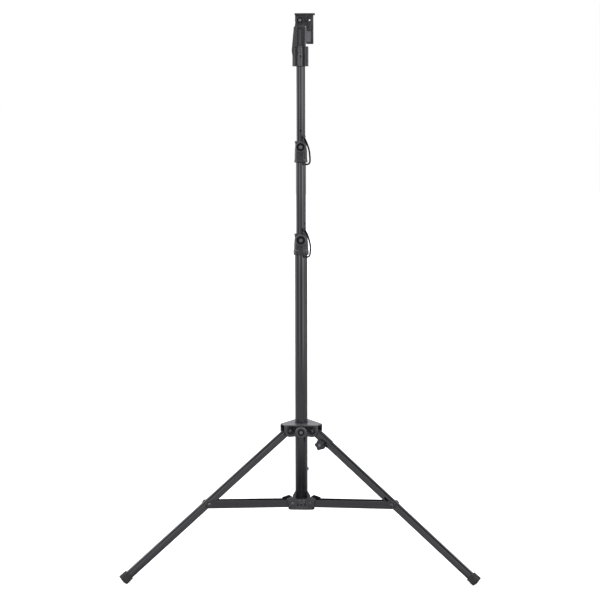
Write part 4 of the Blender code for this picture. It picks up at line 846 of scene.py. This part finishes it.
def add_crown():
    ring = eased([
        (34.0, CROWN_HIGH), (34.0, 538.0), (33.0, 536.0), (33.0, 506.0), (34.5, 504.0),
        (34.5, CROWN_LOW), (28.0, CROWN_LOW), (28.0, CROWN_HIGH)], 1.0, True)
    body = spun("crown_ring", ring, at(0, 0, 0), CAST, 96, ring=True)
    screw = at(0, 0, CROWN_SCREW_Z) @ FRONT
    owns(cut(body, drill(PAD_WAY_R, 0.0, 60.0, screw)), "crown", "crown_body")
    x, _, z = CROWN_PIVOT
    outline = [(26.0, CROWN_HIGH), (85.0, CROWN_HIGH)]
    outline += arc(x, z, 24.0, 0.0, -90.0, 14) + [(26.0, CROWN_LOW)]
    cheeks("crown_cheek", "crown", outline, 15.3, 5.0, (x, z), 1.1)
    boss = eased([
        (12.0, 60.0), (12.0, 46.0), (13.5, 42.0), (17.0, 36.0), (17.0, 30.0), (5.4, 30.0),
        (5.4, 38.0), (HOLE_R, 38.0), (HOLE_R, 60.0)], 1.0, True)
    adds(spun("crown_boss", boss, screw, CAST, 64, ring=True), "crown")
    for side, leg_frame in LEG.items():
        web = block("crown_web_" + side, (31.0, -15.6, 505.0), (37.0, 15.6, 541.0), leg_frame, CAST)
        adds(web, "crown")
    plate = yoke_plate("crown_plate", 85.0, 20.3, 28.0, 544.9, PLATE, 0.7)
    owns(plate, "crown", "crown_top_plate")


add_crown()


# Lower hub

def socket_screw(name, body, matrix, radius, height, socket, shank_r, shank, sides):
    """A screw with a recessed drive; matrix puts +Z outwards with the head's seat at 0."""
    depth = 0.6 * height
    profile = [
        (0.0, height - depth), (socket, height - depth), (socket, height - 0.4),
        (socket + 0.4, height), (radius - 0.9, height), (radius, height - 0.7),
        (radius, 0.3), (radius - 0.3, 0.0), (shank_r, 0.0), (shank_r, -shank + 0.8),
        (shank_r - 0.8, -shank), (0.0, -shank)]
    owns(spun(name + "_turned", profile, matrix, STEEL, sides), body, name)


def add_hub():
    low = 199.6
    ring = eased([(33.8, 242.0), (33.8, low), (25.3, low), (25.3, 242.0)], 1.2, True)
    body = spun("hub_ring", ring, at(0, 0, 0), CAST, 96, ring=True)
    screw_way = drill(HOLE_R, 0.0, 60.0, at(0, 0, HUB_SCREW_Z) @ FRONT)
    owns(cut(body, screw_way), "column", "lower_hub")
    x, _, z = HUB_PIVOT
    outline = eased([
        (22.0, low + 1.0), (22.0, 239.0), (27.0, 241.0), (45.9, 255.0), (78.0, 249.0),
        (78.0, 244.0), (71.0, 237.0), (71.0, 214.0), (44.0, 214.0), (44.0, low + 1.0)],
        2.5, True, 4)
    cheeks("hub_cheek", "column", outline, 17.4, 3.2, (x, z), 0.7)
    for side, leg_frame in LEG.items():
        wall = block(
            "hub_wall_" + side, (-36.0, -43.0, low), (-33.0, 43.0, 215.0), leg_frame, CAST, 1.0)
        adds(wall, "column")
    plate = yoke_plate("hub_plate", 57.0, 8.5, 25.3, low, CAST, 0.75)
    adds(plate, "column")
    outline = [(25.4, 240.0), (25.4, 277.0), (40.0, 255.0), (40.0, 241.0)]
    for side, leg_frame in LEG.items():
        gusset = slab("hub_gusset_" + side, [outline], 6.0, leg_frame @ FRONT, CAST, 1.2)
        adds(gusset, "column")
    socket_screw(
        "hub_fixing_screw", "column", at(0, -34.1, HUB_SCREW_Z) @ FRONT, 10.0, 5.0, 4.2, 4.0, 8.5, 6)


add_hub()


# Legs, feet, levelling sleeve and star knob

def cross_hole(line, along):
    """A cutter across a leg."""
    return drill(HOLE_R, -40.0, 40.0, line @ move(along, 0, 0) @ FRONT)


def long_slot(line):
    """A cutter across the levelling leg, for the stay's bolt to slide in."""
    outline = arc(STAY_JOINT, 0.0, HOLE_R, -90.0, 90.0, 10)
    outline += arc(STAY_JOINT - 40.0, 0.0, HOLE_R, 90.0, 270.0, 10)
    return slab("slot", [outline], 80.0, line @ FRONT, CAST, 0.0)


def square_leg(side, size, start, tools):
    """A leg of square tube with round corners, cut by the tools."""
    name = "leg_" + side
    piece = pipe(
        name + "_tube", crowned_square(size, 2.6, 0.7), crowned_square(size - 4.0, 0.8, 0.3),
        start, FOOT_END - 5.3, LEG_LINE[side], LEG_PAINT)
    for tool in tools:
        cut(piece, tool)
    owns(softened(piece, 0.35, 1, 60.0), side + "_leg", name)


def rubber_foot(side):
    """A ribbed rubber cap, worn flat on the floor."""
    ribs = (0.0, 1.0, 4.0, 5.0, 8.0, 9.0, 12.0, 13.0, 16.0, 17.0, 32.2, 33.0)
    sizes = (31.8, 33.0, 33.0, 32.0, 32.0, 33.0, 33.0, 32.0, 32.0, 33.0, 33.0, 32.0)
    start = FOOT_END - 33.0
    sections = []
    for along, size in zip(ribs, sizes):
        half = 0.5 * size
        sections.append((start + along, rounded_box((-half, -half), (half, half), 3.0)))
    name = "foot_" + side
    piece = loft(name + "_cap", sections, LEG_LINE[side], RUBBER)
    piece.data.transform(piece.matrix_world)
    piece.matrix_world = Matrix.Identity(4)
    owns(softened(piece, 0.3, 2, 30.0), side + "_leg", name)


for leg_side in ("left", "rear"):
    leg_line = LEG_LINE[leg_side]
    square_leg(leg_side, 27.0, -13.0, [cross_hole(leg_line, 0.0), cross_hole(leg_line, STAY_JOINT)])
square_leg("right", 26.4, 8.0, [long_slot(LEG_LINE["right"])])
for leg_side in LEG:
    rubber_foot(leg_side)


def add_sleeve():
    line = LEG_LINE["right"]
    piece = pipe(
        "leg_sleeve_tube", crowned_square(30.0, 2.8, 0.7), crowned_square(27.0, 1.2, 0.1),
        -13.0, 86.0, line, LEG_PAINT)
    slit = block("slit", (44.0, -1.5, -16.0), (90.0, 1.5, -12.0), line, CAST, 0.0)
    for tool in (cross_hole(line, 0.0), slit):
        cut(piece, tool)
    owns(softened(piece, 0.3, 1, 60.0), "right_sleeve", "leg_sleeve")
    lug = [rounded_box((54.0, -26.0), (70.0, -13.8), 3.0),
           circle(STAR_ALONG, -STAR_BELOW, HOLE_R, 24)]
    for label, across in (("front", -8.25), ("back", 8.25)):
        piece = slab("pinch_lug_" + label, lug, 13.5, line @ move(0, across, 0) @ FRONT, LEG_PAINT)
        adds(piece, "right_sleeve")


def add_star_knob():
    centre = LEG_LINE["right"] @ move(STAR_ALONG, 0, -STAR_BELOW) @ FRONT
    outline = []
    for index in range(100):
        angle = 2 * math.pi * index / 100
        wave = (0.5 + 0.5 * math.cos(5 * angle)) ** 0.6
        reach = 21.5 * (0.76 + 0.24 * wave)
        outline.append((reach * math.cos(angle), reach * math.sin(angle)))
    grip = 16.8
    star = slab(
        "star_knob_grip", [outline], 14.0, centre @ move(0, 0, grip + 7.0), PLASTIC, 3.0, 4)
    owns(star, "levelling_clamp", "star_knob")
    face = grip + 14.0
    parts = {
        "cap": (eased([
            (0.0, face + 1.2), (6.0, face + 0.8), (7.5, face - 1.0), (0.0, face - 1.0)], 0.8), CAP, 40),
        "collar": (eased([
            (0.0, grip + 1.0), (7.0, grip + 1.0), (7.0, 15.3), (0.0, 15.3)], 0.5), STEEL, 32),
        "screw": ([
            (0.0, grip), (BOLT_R, grip), (BOLT_R, -21.3), (3.2, -22.3), (0.0, -22.3)], STEEL, 24),
        "nut": ([
            (BOLT_R, -15.3), (6.8, -15.3), (7.5, -15.8), (7.5, -20.8), (6.8, -21.3),
            (BOLT_R, -21.3)], STEEL, 6),
    }
    for label, (profile, material, sides) in parts.items():
        piece = spun("star_knob_" + label, profile, centre, material, sides, ring=label == "nut")
        adds(piece, "levelling_clamp")


add_sleeve()
add_star_knob()


# Stays

def add_stay(side):
    outline = arc(0.0, 0.0, 15.2, 90.0, 270.0, 16) + arc(STAY_LENGTH, 0.0, 15.2, -90.0, 90.0, 16)
    holes = [circle(0.0, 0.0, HOLE_R, 24), circle(STAY_LENGTH, 0.0, HOLE_R, 24)]
    for which, across in (("bar_a", -15.6), ("bar_b", 15.6)):
        name = "_".join(("stay", side, which))
        bar = slab(
            name + "_plate", [outline] + holes, 3.0, STAY_LINE[side] @ move(0, across, 0) @ FRONT,
            LEG_PAINT, 0.9, 3)
        owns(bar, side + "_stay", name)


for leg_side in LEG:
    add_stay(leg_side)


# Head casting, its clamp screw and the tilt nut

def add_head():
    body = "top_section"
    seat = circle(0.0, 0.0, 17.4, 64)
    front = [
        (-32.5, -8.0), (-31.0, -14.5), (-21.0, -18.5), (-20.0, -15.0), (-13.8, -15.0), (-12.8, -19.5),
        (-11.0, -24.6), (-7.0, -28.6), (-5.4, -29.6), (2.4, -29.6), (4.2, -28.4), (9.2, -22.6),
        (10.6, -19.0), (11.2, -16.6), (15.4, -16.6), (15.8, -21.6), (19.0, -23.0), (20.0, -22.0),
        (20.4, -18.4), (24.4, -18.0), (28.8, -13.0), (29.9, -8.0)]
    outline = front + arc(20.9, 14.0, 9.0, 0.0, 90.0, 8) + arc(-23.5, 14.0, 9.0, 90.0, 180.0, 8)
    sleeve = slab("head_sleeve", [outline, seat], 70.0, at(0, 0, 1994.0), CAST, 0.5)
    owns(sleeve, body, "head_casting")
    lid = slab("head_sleeve_lid", [outline], 6.2, at(0, 0, 2031.9), CAST, 1.0)
    adds(lid, body)

    def piece(name, points, low_y, high_y, edge=1.0):
        made = slab(
            name, [points], high_y - low_y, at(0, 0.5 * (low_y + high_y), 0) @ FRONT, CAST, edge)
        adds(made, body)

    piece("head_back", [(-34.0, 2032.0), (19.8, 2032.0), (19.8, 2111.0), (-26.4, 2111.0)], -7.5, 20.0)
    piece("head_left_side", [
        (-32.3, 2000.0), (-28.0, 2000.0), (-27.5, 2032.0), (-21.5, 2111.0), (-26.4, 2111.0),
        (-35.0, 2018.0)], -17.5, 17.5)
    piece("head_left_rib", [
        (-28.5, 2032.0), (-15.2, 2032.0), (-15.2, 2111.0), (-23.0, 2111.0)], -20.0, -6.5, 1.4)
    piece("head_middle_rib", [
        (-7.0, 2032.0), (2.4, 2032.0), (2.4, 2098.0), (-7.0, 2098.0)], -20.0, -6.5, 1.6)
    piece("head_inner_rib", [
        (6.2, 2032.0), (8.0, 2032.0), (8.0, 2098.0), (6.2, 2098.0)], -14.0, -6.5, 0.6)
    piece("head_right_rib", [
        (14.0, 2032.0), (19.8, 2032.0), (19.8, 2111.0), (12.4, 2111.0), (12.4, 2098.0),
        (14.0, 2090.0)], -20.0, -6.5, 1.4)
    piece("head_nub", [(-7.0, 2101.0), (-2.2, 2101.0), (-2.2, 2107.5), (-7.0, 2107.5)], -13.0, -6.5)
    outline = arc(TILT_X, TILT_Z, 19.0, -20.0, 200.0, 36) + [(-23.0, 2108.5), (17.6, 2108.5)]
    for label, across in (("front", -14.3), ("back", 14.3)):
        cheek = slab(
            "head_cheek_" + label, [outline, circle(TILT_X, TILT_Z, HOLE_R, 24)], 8.0,
            at(0, across, 0) @ FRONT, CAST, 1.2, 3)
        adds(cheek, body)
    socket_screw(
        "head_clamp_screw", body, at(0, -31.1, 1998.0) @ FRONT, 6.5, 4.0, 3.3, 4.0, 13.4, 36)
    nut = [(HOLE_R, 24.6), (6.8, 24.6), (7.5, 24.0), (7.5, 19.2), (6.8, 18.6), (HOLE_R, 18.6)]
    back = at(TILT_X, 0, TILT_Z) @ BACK
    owns(spun("tilt_nut_hexagon", nut, back, STEEL, 6, ring=True), body, "tilt_nut")


add_head()


# Tilting bracket

def add_bracket():
    body = "bracket"
    pivot = at(TILT_X, 0, TILT_Z) @ FRONT
    barrel = eased([(17.0, 10.0), (17.0, -10.0), (HOLE_R, -10.0), (HOLE_R, 10.0)], 0.8, True)
    owns(spun("bracket_barrel", barrel, pivot, CAST, 64, ring=True), body, "tilt_bracket")
    plate = block("bracket_plate", (-23.5, -20.0, 2156.0), (55.5, 20.0, 2162.0), COLUMN, CAST, 1.4)
    adds(plate, body)
    web = slab(
        "bracket_web", [[
            (-21.5, 2134.0), (-12.0, 2134.0), (-12.0, 2146.0), (7.4, 2146.0), (7.4, 2113.0),
            (22.8, 2113.0), (22.8, 2158.0), (-21.5, 2158.0)]], 19.0, COLUMN @ FRONT, CAST, 1.0)
    adds(web, body)
    holder = block(
        "bracket_block", (20.8, -18.0, 2045.0), (49.6, 18.0, 2158.0), COLUMN, CAST, 2.4, 4)
    bore = spun("bore", [
        (0.0, -5.0), (9.4, -5.0), (9.4, 0.0), (8.15, 1.3), (8.15, 60.0), (0.0, 60.0)],
        at(SOCKET_X, 0, 2045.0), CAST, 48)
    window = drill(3.6, -30.0, 30.0, at(34.6, 0, 2136.0) @ FRONT, 32)
    wave = []
    for hand in (1, -1):
        for step in range(19):
            up = (step if hand > 0 else 18 - step) / 18
            sway = 1.5 * math.sin(2.0 * math.pi * up + 0.5)
            wave.append((27.5 + sway + hand * 2.8, 2099.0 + 48.0 * up))
    slot = slab("slot", [eased(wave, 1.0, True)], 11.0, at(0, -18.0, 0) @ FRONT, CAST, 0.0)
    for tool in (bore, window, slot):
        cut(holder, tool)
    adds(softened(holder, 0.5, 2, 60.0), body)
    panel = slab(
        "bracket_panel", [rounded_box((22.6, 2052.0), (39.6, 2092.5), 1.6)], 1.2,
        at(0, -18.3, 0) @ FRONT, PLATE, 0.4)
    adds(panel, body)
    socket_screw(
        "socket_screw", body, at(SOCKET_X, -18.3, 2099.0) @ FRONT, 4.5, 3.0, 2.0, 2.0, 10.0, 32)


add_bracket()


# Kept CAD pieces: only their finish

for node_name, material in {
    "base_tube_plug": NYLON, "middle_tube_plug": NYLON, "top_tube_plug": NYLON,
    "lower_collar_bush": NYLON, "upper_collar_bush": NYLON, "crown_liner": NYLON,
    "lower_collar_pad": BRASS, "upper_collar_pad": BRASS, "crown_pad": BRASS,
}.items():
    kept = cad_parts[node_name]
    kept.data.materials.clear()
    kept.data.materials.append(material)


# Studio: pale floor, soft light from all round and from above

# How bright the studio is at eye level, by direction: from the front towards +X, in degrees
LIGHT_ROUND = {
    -180: 0.15, -150: 1.0, -125: 1.5, -99: 1.0, -80: 0.6, -66: 0.35, -55: 0.3, -45: 0.6, -33: 1.4,
    -22: 0.9, -12: 0.6, -4: 0.3, 4: 0.22, 12: 0.35, 22: 0.95, 38: 1.85, 48: 1.3, 61: 0.7, 75: 0.9,
    90: 0.95, 112: 0.55, 134: 0.6, 160: 0.4, 180: 0.15,
}
HIGHER = 1.45    # times that, a little higher up
# Below eye level, above it in front and above it behind the stand, by height in degrees
LIGHT_LOW = {-90: 0.04, -22: 0.08, -18.7: 0.3, -17.3: 0.55, 90: 0.55}
LIGHT_ABOVE = {-90: 1.3, 20: 1.3, 25: 2.0, 46: 2.0, 52: 0.06, 90: 0.04}
LIGHT_BEHIND = {
    -90: 0.15, 3: 0.15, 8.5: 0.25, 10.5: 0.85, 15: 1.0, 18: 1.9, 25.5: 1.9, 28.5: 0.05, 90: 0.03,
}
BRIGHTEST = 3.0


def rising(tree, angle, low, high):
    """0 up to the low angle and 1 from the high one, in degrees."""
    return spread(tree, angle, math.radians(low), math.radians(high), 0.0, 1.0)


def light_ramp(tree, angle, reach, levels):
    """A bluish brightness by angle, as a share of the brightest, for angles of -reach to reach."""
    made = node(tree, "ShaderNodeValToRGB")
    tree.links.new(rising(tree, angle, -reach, reach), made.inputs["Fac"])
    elements = made.color_ramp.elements
    while len(elements) < len(levels):
        elements.new(0.5)
    for element, (degrees, level) in zip(elements, sorted(levels.items())):
        element.position = (degrees + reach) / (2.0 * reach)
        share = level / BRIGHTEST
        element.color = (0.97 * share, 0.97 * share, 1.03 * share, 1.0)
    return made.outputs["Color"]


def add_studio():
    world = bpy.data.worlds.new("studio")
    bpy.context.scene.world = world
    world.use_nodes = True
    tree = world.node_tree
    tree.nodes.clear()
    place = node(tree, "ShaderNodeTexCoord").outputs["Generated"]
    parts = node(tree, "ShaderNodeSeparateXYZ")
    tree.links.new(place, parts.inputs[0])
    turn = maths(tree, "ARCTAN2", parts.outputs["X"], maths(tree, "MULTIPLY", parts.outputs["Y"], -1.0))
    height = maths(tree, "ARCSINE", parts.outputs["Z"])
    near_level = mixed(
        tree, rising(tree, height, -10.0, -4.0), light_ramp(tree, height, 90.0, LIGHT_LOW),
        light_ramp(tree, turn, 180.0, LIGHT_ROUND))
    higher = light_ramp(tree, turn, 180.0, {a: HIGHER * b for a, b in LIGHT_ROUND.items()})
    in_front = mixed(
        tree, rising(tree, height, 18.0, 24.0), higher,
        light_ramp(tree, height, 90.0, LIGHT_ABOVE))
    above = mixed(
        tree, rising(tree, maths(tree, "ABSOLUTE", turn), 100.0, 125.0), in_front,
        light_ramp(tree, height, 90.0, LIGHT_BEHIND))
    colour = mixed(tree, rising(tree, height, 3.0, 5.0), near_level, above)
    lights = node(tree, "ShaderNodeBackground")
    lights.inputs["Strength"].default_value = BRIGHTEST
    tree.links.new(colour, lights.inputs["Color"])
    backdrop = node(tree, "ShaderNodeBackground")
    backdrop.inputs["Color"].default_value = (1.0, 1.0, 1.0, 1.0)
    seen = node(tree, "ShaderNodeLightPath").outputs["Is Camera Ray"]
    both = node(tree, "ShaderNodeMixShader")
    tree.links.new(seen, both.inputs[0])
    tree.links.new(lights.outputs[0], both.inputs[1])
    tree.links.new(backdrop.outputs[0], both.inputs[2])
    output = node(tree, "ShaderNodeOutputWorld")
    tree.links.new(both.outputs[0], output.inputs["Surface"])

    sun = bpy.data.lights.new("soft_top_light", "SUN")
    sun.energy = 1.5
    sun.angle = math.radians(80.0)
    lamp = bpy.data.objects.new("soft_top_light", sun)
    lamp.rotation_euler = (math.radians(8.0), math.radians(-6.0), 0.0)
    lamp.visible_glossy = False
    bpy.context.scene.collection.objects.link(lamp)

    work = bmesh.new()
    bmesh.ops.create_grid(work, x_segments=1, y_segments=1, size=30.0)
    paper = surface(
        "pale_floor", (0.90, 0.90, 0.90), (0.92, 0.92, 0.92), (0.7, 0.9), patch=3.0,
        grain=200.0, bump=0.02, specular=0.2, wear=0.0)
    glow = paper.node_tree.nodes["Principled BSDF"]
    glow.inputs["Emission Color"].default_value = (1.0, 1.0, 1.0, 1.0)
    glow.inputs["Emission Strength"].default_value = 0.55
    floor = finished("floor", work, move(0, 0, -0.4), paper)
    floor.visible_glossy = False
    bpy.context.scene.view_settings.view_transform = "Standard"


add_studio()
